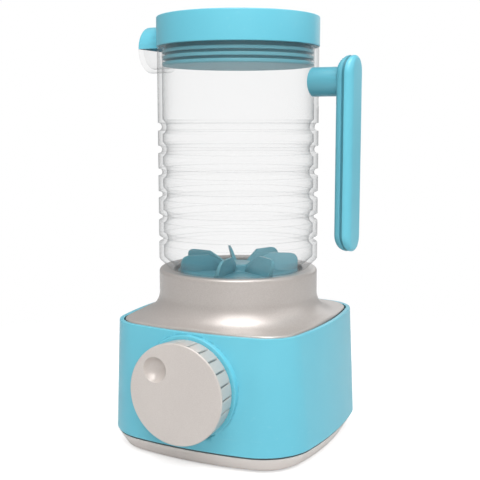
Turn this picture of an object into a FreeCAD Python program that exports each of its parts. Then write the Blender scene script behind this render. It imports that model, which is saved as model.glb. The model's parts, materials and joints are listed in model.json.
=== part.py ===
import FreeCAD, Part
import math
import os

# Toy blender, cranked by hand.  The knob on the front turns a crown gear, the crown gear turns a
# pinion on an upright spindle, and the spindle drives the blades through a coupling under the jar.
# The jar lifts off the base and the lid lifts off the jar.
#
# Frame: millimetres, +Z up.  The origin is where the jar's axis meets the surface that the blender
# stands on.  The knob faces -Y, the handle is on +X and the spout is on -X.

V = FreeCAD.Vector
UP = V(0, 0, 1)
EPS = 0.01                       # overshoot of a cutting tool past the face that it cuts

# ---------------------------------------------------------------------------------------------
# Fits and clearances
# ---------------------------------------------------------------------------------------------
running_fit = 0.06               # radial play of a shaft in its bush
seat_fit = 0.05                  # radial play of two fixed pieces that fit together
free_gap = 0.3                   # play between pieces that move past each other
slide_fit = 0.4                  # radial play of the jar's neck in the collar
plug_fit = 0.3                   # radial play of the lid's plug in the jar
weld = 0.5                       # how far one feature runs into another that it grows from
pilot_spare = 1.0                # pilot hole beyond a screw's tip

# ---------------------------------------------------------------------------------------------
# Heights, from the surface that the blender stands on
# ---------------------------------------------------------------------------------------------
pad_proud = 1.0
tray_height = 8.2
shadow_gap = 1.0                 # dark line between the tray and the housing
housing_height = 62.8
shoulder_rise = 1.0
collar_rise = 24.8
jar_height = 123.1               # from the seat on the collar to the rim
lid_height = 16.0

tray_bottom_z = pad_proud
tray_top_z = tray_bottom_z + tray_height
housing_bottom_z = tray_top_z + shadow_gap
housing_top_z = housing_bottom_z + housing_height
shoulder_z = housing_top_z + shoulder_rise
collar_top_z = shoulder_z + collar_rise
jar_seat_z = collar_top_z
jar_rim_z = jar_seat_z + jar_height
lid_top_z = jar_rim_z + lid_height

# ---------------------------------------------------------------------------------------------
# Base: housing, bottom tray and top cover.  Each outline is a square with bowed sides and
# rounded corners: half its width, the corner radius and the radius of the bowed side.
# ---------------------------------------------------------------------------------------------
tray_foot_half = 55.6
tray_foot_corner = 23.3
tray_foot_bow = 180.0
housing_foot_half = 61.0
housing_foot_corner = 30.2
housing_foot_bow = 236.0
housing_head_half = 57.9
housing_head_corner = 21.4
housing_head_bow = 211.0
tray_inset = 0.7                 # tray's upper edge behind the housing's lower edge

housing_wall = 2.4
tray_wall = 2.2
cover_wall = 2.4
cover_gap = 0.8                  # dark line between the housing's rim and the cover
cover_edge_round = 1.0
rim_support_inset = 1.5          # how far the tray's support rim stands back from the housing
lip_height = 3.3
lip_wall = 2.0
ledge_depth = 3.0                # housing's inner ledge that carries the cover
ledge_thickness = 2.5
cover_edge_height = 4.0          # from the ledge to the shoulder

collar_radius = 45.0
collar_round = 2.2
collar_sweep_radius = 12.5
collar_lip_drop = 0.6            # the collar's top falls this much towards the jar's opening
well_radius = 36.8
well_mouth_round = 0.8
well_wall = 2.2
well_depth = 19.8

post_spread = 41.0               # case screw posts at plus and minus this in X and Y
post_radius = 4.2
post_joint_z = 14.0              # where the tray's posts meet the cover's posts
pad_half = 36.0                  # square rubber pad under the tray
pad_corner = 10.0
pad_recess = 1.2
pad_chamfer = 0.5

# ---------------------------------------------------------------------------------------------
# Screws: shank radius, head radius, head height
# ---------------------------------------------------------------------------------------------
case_screw = (1.5, 2.8, 2.0)
case_screw_length = 22.0
case_head_recess = 2.0
frame_screw = (1.5, 2.8, 1.8)
frame_screw_length = 8.0
grip_screw = (1.2, 2.4, 1.6)
grip_screw_length = 5.8
mount_screw = (1.5, 3.0, 2.0)
mount_screw_length = 15.0
screw_clearance = 0.2
cross_slot_share = 0.62          # length of the cross slots, as a share of the head
cross_slot_width = 0.7
cross_slot_depth = 0.8

# ---------------------------------------------------------------------------------------------
# Crank knob and its shaft.  Reach is the distance in front of the jar's axis.
# ---------------------------------------------------------------------------------------------
knob_axis_z = 42.8
knob_thickness = 12.8
knob_back_gap = 0.4
knob_front_radius = 27.0
knob_back_radius = 26.2
knob_edge_round = 0.8
knob_wall = 2.6
knob_face_wall = 3.0
knob_hub_radius = 9.5
knob_rib_width = 1.6
knob_rib_count = 6
knob_rib_start_angle = 15.0
knob_rib_setback = 2.0           # ribs stop short of the knob's open back
knob_groove_count = 24
knob_groove_width = 0.8
knob_groove_depth = 0.7
knob_smooth_band = 1.0           # rim in front of the grooves
dimple_offset = (-11.9, 11.9)    # across and up from the knob's centre
dimple_radius = 6.7
dimple_depth = 4.8
dimple_wall = 1.8

boss_proud = 0.5                 # raised ring behind the knob, over the housing's side
boss_radius = 28.4
boss_flare = 1.7
boss_edge = 0.6
spot_face_gap = 0.8              # round the knob, where the housing's foot is cut back
sleeve_radius = 8.0
sleeve_length = 10.9

shaft_radius = 3.0
shaft_flat = 0.8                 # depth of the flat that drives the knob and the crown gear
shaft_front_cover = 2.2          # knob's face over the shaft's end
shaft_tail = 1.5                 # shaft beyond its clip
bush_wall = 2.0
bush_flange = 2.0
bush_flange_thickness = 1.0
washer_thickness = 0.8
washer_radius = 6.4
washer_play = 0.05
clip_thickness = 0.8
clip_width = 1.6
clip_mouth = 0.6                 # half width of the clip's open mouth, as a share of the shaft
clip_groove_depth = 0.4

# ---------------------------------------------------------------------------------------------
# Gears
# ---------------------------------------------------------------------------------------------
gear_module = 1.5
crown_teeth = 20
pinion_teeth = 10
crown_face = 3.6                 # radial length of the crown gear's teeth
pinion_face = 7.0
tooth_addendum = 0.72            # in modules
tooth_dedendum = 1.15            # in modules
tooth_half_width = 0.50          # at the pitch line, in modules: leaves the play between teeth
tooth_slope = 0.32               # flank's slope
crown_web = 3.2
crown_rim = 0.9                  # web outside the teeth
crown_hub_radius = 6.0
pinion_hub_radius = 4.8
pinion_lower_hub = 2.5           # hub under the teeth
pinion_upper_hub = 1.9           # hub over the teeth
spindle_radius = 2.5
spindle_flat = 0.7

pinion_pitch_radius = gear_module * pinion_teeth / 2.0
crown_pitch_radius = gear_module * crown_teeth / 2.0
pinion_mid_z = knob_axis_z + crown_pitch_radius

# ---------------------------------------------------------------------------------------------
# Gear frame
# ---------------------------------------------------------------------------------------------
frame_plate = 3.0
frame_top_plate = 3.5
frame_front_reach = 25.0
frame_boss_length = 2.0          # boss for the rear bush, in front of the plate
frame_half_width = 12.0
frame_foot_half_width = 21.0
frame_rear_y = 14.0
frame_foot_z = 10.0
frame_foot_thickness = 2.5
frame_boss_radius = 7.5
shelf_thickness = 4.0
shelf_half_width = 7.0
shelf_front_y = -5.4
frame_post_radius = 4.0
frame_post_x = 17.0
frame_post_front_y = -24.0
frame_post_rear_y = 17.0
hub_play = 0.3                   # end play of the pinion between its bushes

# ---------------------------------------------------------------------------------------------
# Coupling between the spindle and the blades
# ---------------------------------------------------------------------------------------------
dog_radius = 6.6                 # corner radius of the six-sided dog
dog_clearance = 0.4
dog_rim_gap = 0.6                # between the socket's rim and the dog's flange
dog_floor_gap = 0.4              # between the dog's flange and the well
dog_roof_gap = 1.0               # solid end of the dog over the spindle
dog_height = 6.2
dog_flange_radius = 9.0
dog_flange_thickness = 1.8
socket_radius = 10.0
socket_web = 2.9
pin_radius = 0.75
pin_cover = 0.8                  # plastic over each end of a pin
seal_wall = 3.0
seal_thickness = 1.2
seal_lip_width = 1.6
seal_lip_height = 1.0
seal_lip_gap = 0.5               # between the lip's hole and the spindle

# ---------------------------------------------------------------------------------------------
# Jar
# ---------------------------------------------------------------------------------------------
jar_radius = 45.0
jar_wall = 2.6
neck_wall = 1.5
neck_gap = 1.6                   # neck's lower end above the floor of the well
jar_taper_height = 5.6
groove_pitch = 12.56             # six grooves round the jar
groove_count = 6
first_groove_z = 115.3
groove_radius = 2.2              # round grooves, with the wall even behind them
jar_floor = 2.4
disc_gap = 0.4                   # under the blade disc
key_count = 3                    # tabs on the neck that stop the jar turning
key_width = 8.0
key_length = 3.2
key_clearance = 0.4
key_start_angle = 60.0
spout_radius = 13.1
spout_reach = 57.4
spout_wall = 2.2
stub_radius = 4.0
stub_length = 5.0                # stub on the jar, inside the handle's peg

# ---------------------------------------------------------------------------------------------
# Blades
# ---------------------------------------------------------------------------------------------
blade_count = 7
blade_start_angle = 121.2
blade_thickness = 2.7            # at the disc
blade_top_thickness = 1.4
blade_lean = 17.0                # tops lean this way round, in degrees
blade_height = 9.5
blade_tip_radius = 34.0
blade_corner = 3.6
blade_shoulder_radius = 18.0
disc_radius = 34.5
disc_thickness = 2.6
disc_top_drop = 1.7              # blade disc's top below the jar's seat
hub_radius = 9.5
hub_height = 3.9
hub_round = 0.8
rotor_shaft_top_drop = 1.6

# ---------------------------------------------------------------------------------------------
# Lid
# ---------------------------------------------------------------------------------------------
lid_radius = 45.3
lid_wall = 3.0
lid_top_wall = 2.4
lid_edge_round = 1.0
plug_depth = 10.7
plug_wall = 2.0
plug_rib_depth = 1.8
plug_floor = 2.2
plug_rib_count = 3
plug_rib_height = 1.9
plug_rib_pitch = 3.35
plug_rib_first_drop = 1.9        # from the rim to the first rib
plug_band = 2.4                  # rings that seat the plug in the cap
plug_band_drop = 0.5             # lower ring above the rim
hood_wall = 2.2

# ---------------------------------------------------------------------------------------------
# Handle
# ---------------------------------------------------------------------------------------------
handle_drop = 19.9               # peg's axis below the jar's rim
peg_radius = 7.76
peg_end_wall = 3.0
grip_distance = 16.0             # from the jar's wall to the grip
grip_inner_thickness = 4.0
grip_seam = 1.0
grip_cover_thickness = 4.0
grip_half_width = 10.0
grip_top_rise = 13.6             # over the peg's axis
grip_bottom_rise = 13.0          # over the jar's seat
grip_inner_round = 2.4
grip_end_run = 11.0              # length over which the inner half thins towards its ends
grip_end_lip = 0.6               # what is left of it at its ends
grip_outer_round = 2.0
grip_seam_inset = 0.9
grip_cover_wall = 1.6
grip_screw_low_rise = 13.2       # over the grip's lower end
grip_screw_high_drop = 20.0      # below the peg's axis
grip_boss_radius = 3.0

# Heights and radii that follow from the sizes above
knob_share = (knob_axis_z - housing_bottom_z) / housing_height
boss_reach = housing_foot_half + (housing_head_half - housing_foot_half) * knob_share + boss_proud
sleeve_inner_reach = boss_reach - sleeve_length
handle_z = jar_rim_z - handle_drop
grip_inner_x = jar_radius + grip_distance
grip_top_z = handle_z + grip_top_rise
grip_bottom_z = jar_seat_z + grip_bottom_rise
grip_screw_low_z = grip_bottom_z + grip_screw_low_rise
grip_screw_high_z = handle_z - grip_screw_high_drop
stub_reach = jar_radius + stub_length
cover_bottom_z = shoulder_z - cover_edge_height
case_seat_z = tray_bottom_z + case_head_recess + case_screw[2]
well_floor_z = collar_top_z - well_depth
well_under_z = well_floor_z - well_wall
neck_radius = well_radius - slide_fit
neck_inner_radius = neck_radius - neck_wall
neck_bottom_z = well_floor_z + neck_gap
disc_top_z = jar_seat_z - disc_top_drop
disc_bottom_z = disc_top_z - disc_thickness
jar_floor_top_z = disc_bottom_z - disc_gap
jar_floor_under_z = jar_floor_top_z - jar_floor
jar_inner_radius = jar_radius - jar_wall
hub_top_z = disc_top_z + hub_height
knob_back_reach = boss_reach + knob_back_gap
knob_front_reach = knob_back_reach + knob_thickness
shaft_front_reach = knob_front_reach - shaft_front_cover
front_flange_radius = shaft_radius + running_fit + bush_wall + bush_flange
washer_reach = boss_reach + bush_flange_thickness + washer_play
knob_seat_reach = washer_reach + washer_thickness + free_gap
crown_tip_reach = pinion_pitch_radius - tooth_addendum * gear_module
crown_root_reach = pinion_pitch_radius + tooth_dedendum * gear_module
crown_web_reach = crown_root_reach + crown_web
frame_back_reach = frame_front_reach - frame_plate
rear_bush_back_reach = frame_back_reach - bush_flange_thickness
crown_hub_reach = rear_bush_back_reach - free_gap
shelf_top_z = pinion_mid_z - pinion_face / 2.0 - pinion_lower_hub - hub_play - bush_flange_thickness
shelf_under_z = shelf_top_z - shelf_thickness
frame_top_under_z = (pinion_mid_z + pinion_face / 2.0 + pinion_upper_hub + hub_play
                     + bush_flange_thickness)
frame_top_z = frame_top_under_z + frame_top_plate
lower_hub_z = shelf_top_z + bush_flange_thickness + hub_play
upper_hub_z = frame_top_under_z - bush_flange_thickness - hub_play
dog_flange_z = well_floor_z + dog_floor_gap
dog_z = dog_flange_z + dog_flange_thickness
socket_z = dog_z + dog_rim_gap
coupling_top_z = jar_floor_under_z - bush_flange_thickness - free_gap
socket_roof_z = coupling_top_z - socket_web
grip_seam_x = grip_inner_x + grip_inner_thickness
grip_cover_x = grip_seam_x + grip_seam
grip_outer_x = grip_cover_x + grip_cover_thickness


# ---------------------------------------------------------------------------------------------
# Shape helpers
# ---------------------------------------------------------------------------------------------
def disc(radius, low, high, x=0.0, y=0.0):
    """Upright cylinder between two heights."""
    return Part.makeCylinder(radius, high - low, V(x, y, low), UP)


def tube(outer, inner, low, high, x=0.0, y=0.0):
    """Upright tube between two heights."""
    return disc(outer, low, high, x, y).cut(disc(inner, low - EPS, high + EPS, x, y))


def block(x_low, x_high, y_low, y_high, z_low, z_high):
    """Box between two corners."""
    return Part.makeBox(x_high - x_low, y_high - y_low, z_high - z_low, V(x_low, y_low, z_low))


def rod_x(radius, x_low, x_high, y, z):
    """Cylinder along X."""
    return Part.makeCylinder(radius, x_high - x_low, V(x_low, y, z), V(1, 0, 0))


def spin(points):
    """Solid turned about Z from a closed outline of (radius, height) points.

    A point with four numbers is the end of an arc, and its last two are a point on that arc.
    """
    edges = []
    start = V(points[0][0], 0, points[0][1])
    here = start
    for point in points[1:] + points[:1]:
        there = V(point[0], 0, point[1])
        if len(point) == 4:
            edges.append(Part.Arc(here, V(point[2], 0, point[3]), there).toShape())
        else:
            edges.append(Part.LineSegment(here, there).toShape())
        here = there
    return Part.Face(Part.Wire(edges)).revolve(V(0, 0, 0), UP, 360)


def arc_end(centre, radius, middle_angle, end_angle):
    """Arc entry for spin: its end and its middle, from angles in degrees about a centre."""
    middle = math.radians(middle_angle)
    end = math.radians(end_angle)
    return (centre[0] + radius * math.cos(end), centre[1] + radius * math.sin(end),
            centre[0] + radius * math.cos(middle), centre[1] + radius * math.sin(middle))


def bowed_square(half, corner, bow, z):
    """Closed outline of a square with bowed sides and rounded corners, at one height."""
    bow_centre = half - bow
    # the corner's centre lies on the diagonal, where the corner arc meets the bowed side smoothly
    corner_centre = (bow_centre + math.sqrt(2.0 * (bow - corner) ** 2 - bow_centre ** 2)) / 2.0
    meet = math.degrees(math.atan2(corner_centre, corner_centre - bow_centre))
    edges = []
    for side in range(4):
        turn = FreeCAD.Rotation(UP, 90.0 * side)
        for centre, radius, first, last in (((bow_centre, 0.0), bow, -meet, meet),
                                            ((corner_centre, corner_centre), corner, meet, 90.0 - meet)):
            points = []
            for angle in (first, (first + last) / 2.0, last):
                x = centre[0] + radius * math.cos(math.radians(angle))
                y = centre[1] + radius * math.sin(math.radians(angle))
                points.append(turn.multVec(V(x, y, z)))
            edges.append(Part.Arc(points[0], points[1], points[2]).toShape())
    return Part.Wire(edges)


def bowed_prism(half, corner, bow, low, high):
    """Upright solid with a bowed square outline."""
    return Part.Face(bowed_square(half, corner, bow, low)).extrude(V(0, 0, high - low))


def blend(low_value, high_value, share):
    """Value part of the way between two values."""
    return low_value + (high_value - low_value) * share


def housing_outline(z, inset):
    """Half width, corner and bow of the housing at a height, moved inwards by inset."""
    share = (z - housing_bottom_z) / housing_height
    return (blend(housing_foot_half, housing_head_half, share) - inset,
            blend(housing_foot_corner, housing_head_corner, share) - inset,
            blend(housing_foot_bow, housing_head_bow, share) - inset)


def housing_loft(low, high, inset):
    """Tapered solid that follows the housing between two heights."""
    lower = bowed_square(*housing_outline(low, inset), low)
    upper = bowed_square(*housing_outline(high, inset), high)
    return Part.makeLoft([lower, upper], True, True)


def to_front(shape):
    """Turn a shape built along +Z so that its +Z is the reach of the knob's axis."""
    shape.rotate(V(0, 0, 0), V(1, 0, 0), 90)
    shape.translate(V(0, 0, knob_axis_z))
    return shape


def d_shaft(radius, flat, low, high):
    """Upright shaft with a flat on its +Y side."""
    cutter = block(-radius - 1, radius + 1, radius - flat, radius + 1, low - EPS, high + EPS)
    return disc(radius, low, high).cut(cutter)


def clip_ring(radius, low):
    """Open retaining clip that snaps into a shaft's groove."""
    inner = radius - clip_groove_depth + seat_fit
    ring = tube(radius + clip_width, inner, low, low + clip_thickness)
    mouth = radius * clip_mouth
    return ring.cut(block(-mouth, mouth, -radius - clip_width - 1, 0,
                          low - EPS, low + clip_thickness + EPS))


def clip_groove(radius, low):
    """Ring that is cut from a shaft to take a clip."""
    return tube(radius + 1, radius - clip_groove_depth, low - seat_fit, low + clip_thickness + seat_fit)


def screw(sizes, length):
    """Cross-head screw, head under Z=0 and shank up +Z; the head's face is at -head height."""
    shank_radius, head_radius, head_height = sizes
    body = disc(shank_radius, -EPS, length).fuse(disc(head_radius, -head_height, 0))
    for angle in (0, 90):
        slot = block(-head_radius * cross_slot_share, head_radius * cross_slot_share,
                     -cross_slot_width / 2, cross_slot_width / 2,
                     -head_height - EPS, -head_height + cross_slot_depth)
        slot.rotate(V(0, 0, 0), UP, angle)
        body = body.cut(slot)
    tip = Part.makeCone(shank_radius + 1, 0, shank_radius + 1, V(0, 0, length - shank_radius), UP)
    keep = disc(head_radius + 1, -head_height - 1, length - shank_radius).fuse(tip)
    return body.common(keep)


def flanged_bush(inner, low, high, flange_at_low):
    """Upright flanged bush; its flange lies outside the stretch from low to high."""
    outer = inner + bush_wall
    sleeve = tube(outer, inner, low, high)
    if flange_at_low:
        flange = tube(outer + bush_flange, inner, low - bush_flange_thickness, low)
    else:
        flange = tube(outer + bush_flange, inner, high, high + bush_flange_thickness)
    return sleeve.fuse(flange)


def four_corners(spread):
    """Corner places at plus and minus spread."""
    return [(x, y) for x in (-spread, spread) for y in (-spread, spread)]


# ---------------------------------------------------------------------------------------------
# Base
# ---------------------------------------------------------------------------------------------
def base_housing():
    """Blue shell of the base, with the ledge for the cover and the boss for the knob's bush."""
    outer = housing_loft(housing_bottom_z, housing_top_z, 0.0)
    flare_reach = boss_reach - boss_edge - boss_flare
    boss = spin([(0, sleeve_inner_reach), (boss_radius + boss_flare, sleeve_inner_reach),
                 (boss_radius + boss_flare, flare_reach),
                 arc_end((boss_radius + boss_flare, flare_reach + boss_flare), boss_flare, 225, 180),
                 (boss_radius - boss_edge, boss_reach), (0, boss_reach)])
    far = housing_foot_half * 2.0
    boss = to_front(boss).common(block(-far, far, -far, far, housing_bottom_z, housing_top_z))
    outer = outer.fuse(boss)
    shell = outer.cut(housing_loft(housing_bottom_z - EPS, housing_top_z + EPS, housing_wall))
    shell = shell.cut(to_front(disc(knob_front_radius + spot_face_gap, boss_reach, far)))
    ledge_z = cover_bottom_z - ledge_thickness
    half, corner, bow = housing_outline(cover_bottom_z, housing_wall / 2.0)
    ledge = bowed_prism(half, corner, bow, ledge_z, cover_bottom_z)
    drop = housing_wall / 2.0 + ledge_depth
    ledge = ledge.cut(bowed_prism(half - drop, corner - drop, bow - drop,
                                  ledge_z - EPS, cover_bottom_z + EPS))
    sleeve_front = housing_outline(knob_axis_z, housing_wall)[0] + weld
    shell = shell.fuse([ledge, to_front(disc(sleeve_radius, sleeve_inner_reach, sleeve_front))])
    bore = shaft_radius + running_fit + bush_wall + seat_fit
    return shell.cut(to_front(disc(bore, sleeve_inner_reach - 1, boss_reach + 1)))


def cover_outline(inset):
    """Outline sizes of the cover's edge, which stands in the housing's rim with an even gap."""
    gap = housing_wall + cover_gap + inset
    return housing_head_half - gap, housing_head_corner - gap, housing_head_bow - gap


def top_cover():
    """Pearl cover: shoulder, concave sweep, collar and the well that takes the jar's neck."""
    sweep_centre = (collar_radius + collar_sweep_radius, shoulder_z + collar_sweep_radius)
    round_centre = (collar_radius - collar_round, collar_top_z - collar_round)
    mouth_z = collar_top_z - collar_lip_drop
    mouth_centre = (well_radius + well_mouth_round, mouth_z - well_mouth_round)
    far = housing_head_half * 2.0
    outside = spin([(0, cover_bottom_z), (far, cover_bottom_z), (far, shoulder_z),
                    (sweep_centre[0], shoulder_z),
                    arc_end(sweep_centre, collar_sweep_radius, 225, 180),
                    (collar_radius, round_centre[1]),
                    arc_end(round_centre, collar_round, 45, 90),
                    (mouth_centre[0], mouth_z),
                    arc_end(mouth_centre, well_mouth_round, 135, 180),
                    (well_radius, well_floor_z), (0, well_floor_z)])
    half, corner, bow = cover_outline(0.0)
    rim = bowed_prism(half, corner, bow, cover_bottom_z, shoulder_z)
    rim = rim.makeFillet(cover_edge_round, [e for e in rim.Edges if e.BoundBox.ZMin > shoulder_z - EPS])
    above = disc(collar_radius + collar_sweep_radius, shoulder_z - 2 * cover_edge_round, collar_top_z + 1)
    above = above.common(bowed_prism(half, corner, bow, cover_bottom_z, collar_top_z + 1))
    outside = outside.common(rim.fuse(above))
    sweep_inner = collar_sweep_radius + cover_wall
    under_z = shoulder_z - cover_wall
    roof_z = collar_top_z - collar_lip_drop - cover_wall
    inside = spin([(0, cover_bottom_z - 1), (far, cover_bottom_z - 1), (far, under_z),
                   (sweep_centre[0], under_z),
                   arc_end(sweep_centre, sweep_inner, 225, 180),
                   (collar_radius - cover_wall, roof_z), (well_radius + well_wall, roof_z),
                   (well_radius + well_wall, well_under_z), (0, well_under_z)])
    half, corner, bow = cover_outline(cover_wall)
    inside = inside.common(bowed_prism(half, corner, bow, cover_bottom_z - 1, collar_top_z))
    cover = outside.cut(inside)
    posts = [disc(post_radius, post_joint_z, under_z + weld, x, y) for x, y in four_corners(post_spread)]
    cover = cover.fuse(posts)
    for x, y in four_corners(post_spread):
        pilot_top = case_seat_z + case_screw_length + pilot_spare
        cover = cover.cut(disc(case_screw[0] + seat_fit, post_joint_z - EPS, pilot_top, x, y))
    seal_bore = spindle_radius + running_fit + seal_wall + seat_fit
    cover = cover.cut(disc(seal_bore, well_under_z, well_floor_z + EPS))
    cover = cover.fuse(tube(seal_bore + seal_lip_width, spindle_radius + seal_lip_gap,
                            well_under_z - seal_lip_height, well_under_z))
    for slot in neck_keys(key_clearance, well_under_z - EPS, well_floor_z + EPS):
        cover = cover.cut(slot)
    return cover


def neck_keys(extra, low, high):
    """Tabs that carry the neck's wall downwards, grown by extra for their slots."""
    keys = []
    ring = tube(neck_radius + extra, neck_inner_radius - extra, low, high)
    for index in range(key_count):
        half = key_width / 2 + extra
        wedge = block(neck_inner_radius - 3, neck_radius + 3, -half, half, low - 1, high + 1)
        wedge.rotate(V(0, 0, 0), UP, key_start_angle + 360.0 / key_count * index)
        keys.append(ring.common(wedge))
    return keys


def bottom_tray():
    """Pearl tray that closes the base, with a support rim, a locating lip and screw posts."""
    half, corner, bow = housing_outline(housing_bottom_z, tray_inset)
    lower = bowed_square(tray_foot_half, tray_foot_corner, tray_foot_bow, tray_bottom_z)
    upper = bowed_square(half, corner, bow, tray_top_z)
    tray = Part.makeLoft([lower, upper], True, True)
    floor_z = tray_bottom_z + tray_wall
    lip_top_z = housing_bottom_z + lip_height
    lip_outline = housing_outline(housing_bottom_z, housing_wall + free_gap)
    inner = [size - lip_wall for size in lip_outline]
    rim = bowed_prism(*housing_outline(housing_bottom_z, rim_support_inset), tray_top_z, housing_bottom_z)
    lip = bowed_prism(*lip_outline, tray_top_z, lip_top_z)
    lower = bowed_square(tray_foot_half - tray_wall, tray_foot_corner - tray_wall,
                         tray_foot_bow - tray_wall, floor_z)
    hollow = Part.makeLoft([lower, bowed_square(*inner, tray_top_z)], True, True)
    hollow = hollow.fuse(bowed_prism(*inner, tray_top_z, lip_top_z + EPS))
    tray = tray.fuse([rim, lip]).cut(hollow)
    posts = [disc(post_radius, tray_bottom_z + EPS, post_joint_z, x, y)
             for x, y in four_corners(post_spread)]
    posts += [disc(frame_post_radius, floor_z - weld, frame_foot_z, x, y)
              for x, y in frame_post_places()]
    tray = tray.fuse(posts)
    for x, y in four_corners(post_spread):
        tray = tray.cut(disc(case_screw[0] + screw_clearance, tray_bottom_z, post_joint_z + EPS, x, y))
        tray = tray.cut(disc(case_screw[1] + screw_clearance, tray_bottom_z - EPS, case_seat_z, x, y))
    for x, y in frame_post_places():
        low = frame_foot_z + frame_foot_thickness - frame_screw_length - pilot_spare
        tray = tray.cut(disc(frame_screw[0] + seat_fit, low, frame_foot_z + EPS, x, y))
    return tray.cut(rounded_square(pad_half + seat_fit, pad_corner + seat_fit,
                                   tray_bottom_z - EPS, tray_bottom_z + pad_recess))


def frame_post_places():
    """Where the gear frame is screwed to the tray."""
    return [(x, y) for x in (-frame_post_x, frame_post_x)
            for y in (frame_post_front_y, frame_post_rear_y)]


def rounded_square(half, corner, low, high):
    """Upright solid with a square outline and rounded corners."""
    square = block(-half, half, -half, half, low, high)
    return square.makeFillet(corner, [e for e in square.Edges if e.BoundBox.ZLength > EPS])


def foot_pad():
    """Rubber pad in the tray's recess, which keeps the toy from sliding."""
    pad = rounded_square(pad_half, pad_corner, 0, tray_bottom_z + pad_recess)
    return pad.makeChamfer(pad_chamfer, [e for e in pad.Edges if e.BoundBox.ZMax < EPS])


def case_screws():
    """Four screws that hold tray, housing and cover together."""
    screws = []
    for x, y in four_corners(post_spread):
        piece = screw(case_screw, case_screw_length)
        piece.translate(V(x, y, case_seat_z))
        screws.append(piece)
    return screws


def gear_frame():
    """Bracket that holds the crank shaft's rear bush and both bushes of the spindle."""
    front = -frame_front_reach
    back = frame_rear_y + frame_plate
    foot_top = frame_foot_z + frame_foot_thickness
    wide = frame_half_width
    parts = [block(-wide, wide, front, front + frame_plate, foot_top - EPS, frame_top_z),
             block(-wide, wide, frame_rear_y, back, foot_top - EPS, frame_top_z),
             block(-wide, wide, front, back, frame_top_under_z, frame_top_z),
             block(-shelf_half_width, shelf_half_width, shelf_front_y, frame_rear_y + EPS,
                   shelf_under_z, shelf_top_z)]
    foot = block(-frame_foot_half_width, frame_foot_half_width, frame_post_front_y - frame_post_radius,
                 frame_post_rear_y + frame_post_radius, frame_foot_z, foot_top)
    frame = foot.fuse(parts)
    boss = to_front(disc(frame_boss_radius, frame_back_reach, frame_front_reach + frame_boss_length))
    frame = frame.fuse(boss)
    crank_bore = shaft_radius + running_fit + bush_wall + seat_fit
    frame = frame.cut(to_front(disc(crank_bore, frame_back_reach - 1, frame_front_reach + 3)))
    spindle_bore = spindle_radius + running_fit + bush_wall + seat_fit
    frame = frame.cut(disc(spindle_bore, shelf_under_z - 1, frame_top_z + 1))
    for x, y in frame_post_places():
        frame = frame.cut(disc(frame_screw[0] + screw_clearance, frame_foot_z - EPS, foot_top + EPS, x, y))
    return frame


def frame_screws():
    """Four screws that hold the gear frame on the tray's posts."""
    screws = []
    for x, y in frame_post_places():
        piece = screw(frame_screw, frame_screw_length)
        piece.rotate(V(0, 0, 0), V(1, 0, 0), 180)
        piece.translate(V(x, y, frame_foot_z + frame_foot_thickness))
        screws.append(piece)
    return screws


# ---------------------------------------------------------------------------------------------
# Crank: knob, shaft, bushes and crown gear
# ---------------------------------------------------------------------------------------------
def knob():
    """Thick round knob, open at the back, with a finger dimple and a grooved rim."""
    face = knob_front_reach
    back = knob_back_reach
    round_centre = (knob_front_radius - knob_edge_round, face - knob_edge_round)
    body = spin([(0, back), (knob_back_radius, back), (knob_front_radius, face - knob_edge_round),
                 arc_end(round_centre, knob_edge_round, 45, 90), (0, face)])
    cavity_roof = face - knob_face_wall
    cavity_radius = knob_back_radius - knob_groove_depth - knob_wall
    cavity = disc(cavity_radius, back - EPS, cavity_roof)
    cavity = cavity.cut(disc(knob_hub_radius, back - 1, face))
    for index in range(knob_rib_count):
        rib = block(0, knob_back_radius, -knob_rib_width / 2, knob_rib_width / 2,
                    back + knob_rib_setback, face)
        rib.rotate(V(0, 0, 0), UP, knob_rib_start_angle + 360.0 / knob_rib_count * index)
        cavity = cavity.cut(rib)
    sphere_radius = (dimple_radius ** 2 + dimple_depth ** 2) / (2 * dimple_depth)
    sphere_centre = V(dimple_offset[0], dimple_offset[1], face + sphere_radius - dimple_depth)
    cavity = cavity.cut(Part.makeSphere(sphere_radius + dimple_wall, sphere_centre))
    body = body.cut(cavity)
    body = body.cut(Part.makeSphere(sphere_radius, sphere_centre))
    for index in range(knob_groove_count):
        groove = block(knob_back_radius - knob_groove_depth, knob_front_radius + 1,
                       -knob_groove_width / 2, knob_groove_width / 2, back - EPS, face - knob_smooth_band)
        groove.rotate(V(0, 0, 0), UP, 360.0 / knob_groove_count * index)
        body = body.cut(groove)
    bore = d_shaft(shaft_radius + seat_fit, shaft_flat, back - 1, shaft_front_reach + seat_fit)
    body = body.cut(disc(front_flange_radius + free_gap, back - 1, knob_seat_reach))
    return to_front(body.cut(bore))


def knob_shaft():
    """Steel shaft with flats at both ends and a groove for its clip."""
    flat_reach = washer_reach + washer_thickness
    middle = disc(shaft_radius, crown_hub_reach, flat_reach)
    rear = d_shaft(shaft_radius, shaft_flat, clip_reach() - shaft_tail, crown_hub_reach + EPS)
    front = d_shaft(shaft_radius, shaft_flat, flat_reach - EPS, shaft_front_reach)
    shaft = middle.fuse([rear, front])
    return to_front(shaft.cut(clip_groove(shaft_radius, clip_reach())))


def clip_reach():
    """Reach of the clip behind the crown gear."""
    return crown_root_reach - clip_thickness - seat_fit


def knob_front_bush():
    """Flanged bush in the housing."""
    return to_front(flanged_bush(shaft_radius + running_fit, sleeve_inner_reach, boss_reach, False))


def knob_rear_bush():
    """Flanged bush in the gear frame, flange towards the crown gear."""
    return to_front(flanged_bush(shaft_radius + running_fit, frame_back_reach,
                                 frame_front_reach + frame_boss_length, True))


def thrust_washer():
    """Washer between the front bush and the knob."""
    return to_front(tube(washer_radius, shaft_radius + running_fit, washer_reach,
                         washer_reach + washer_thickness))


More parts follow.
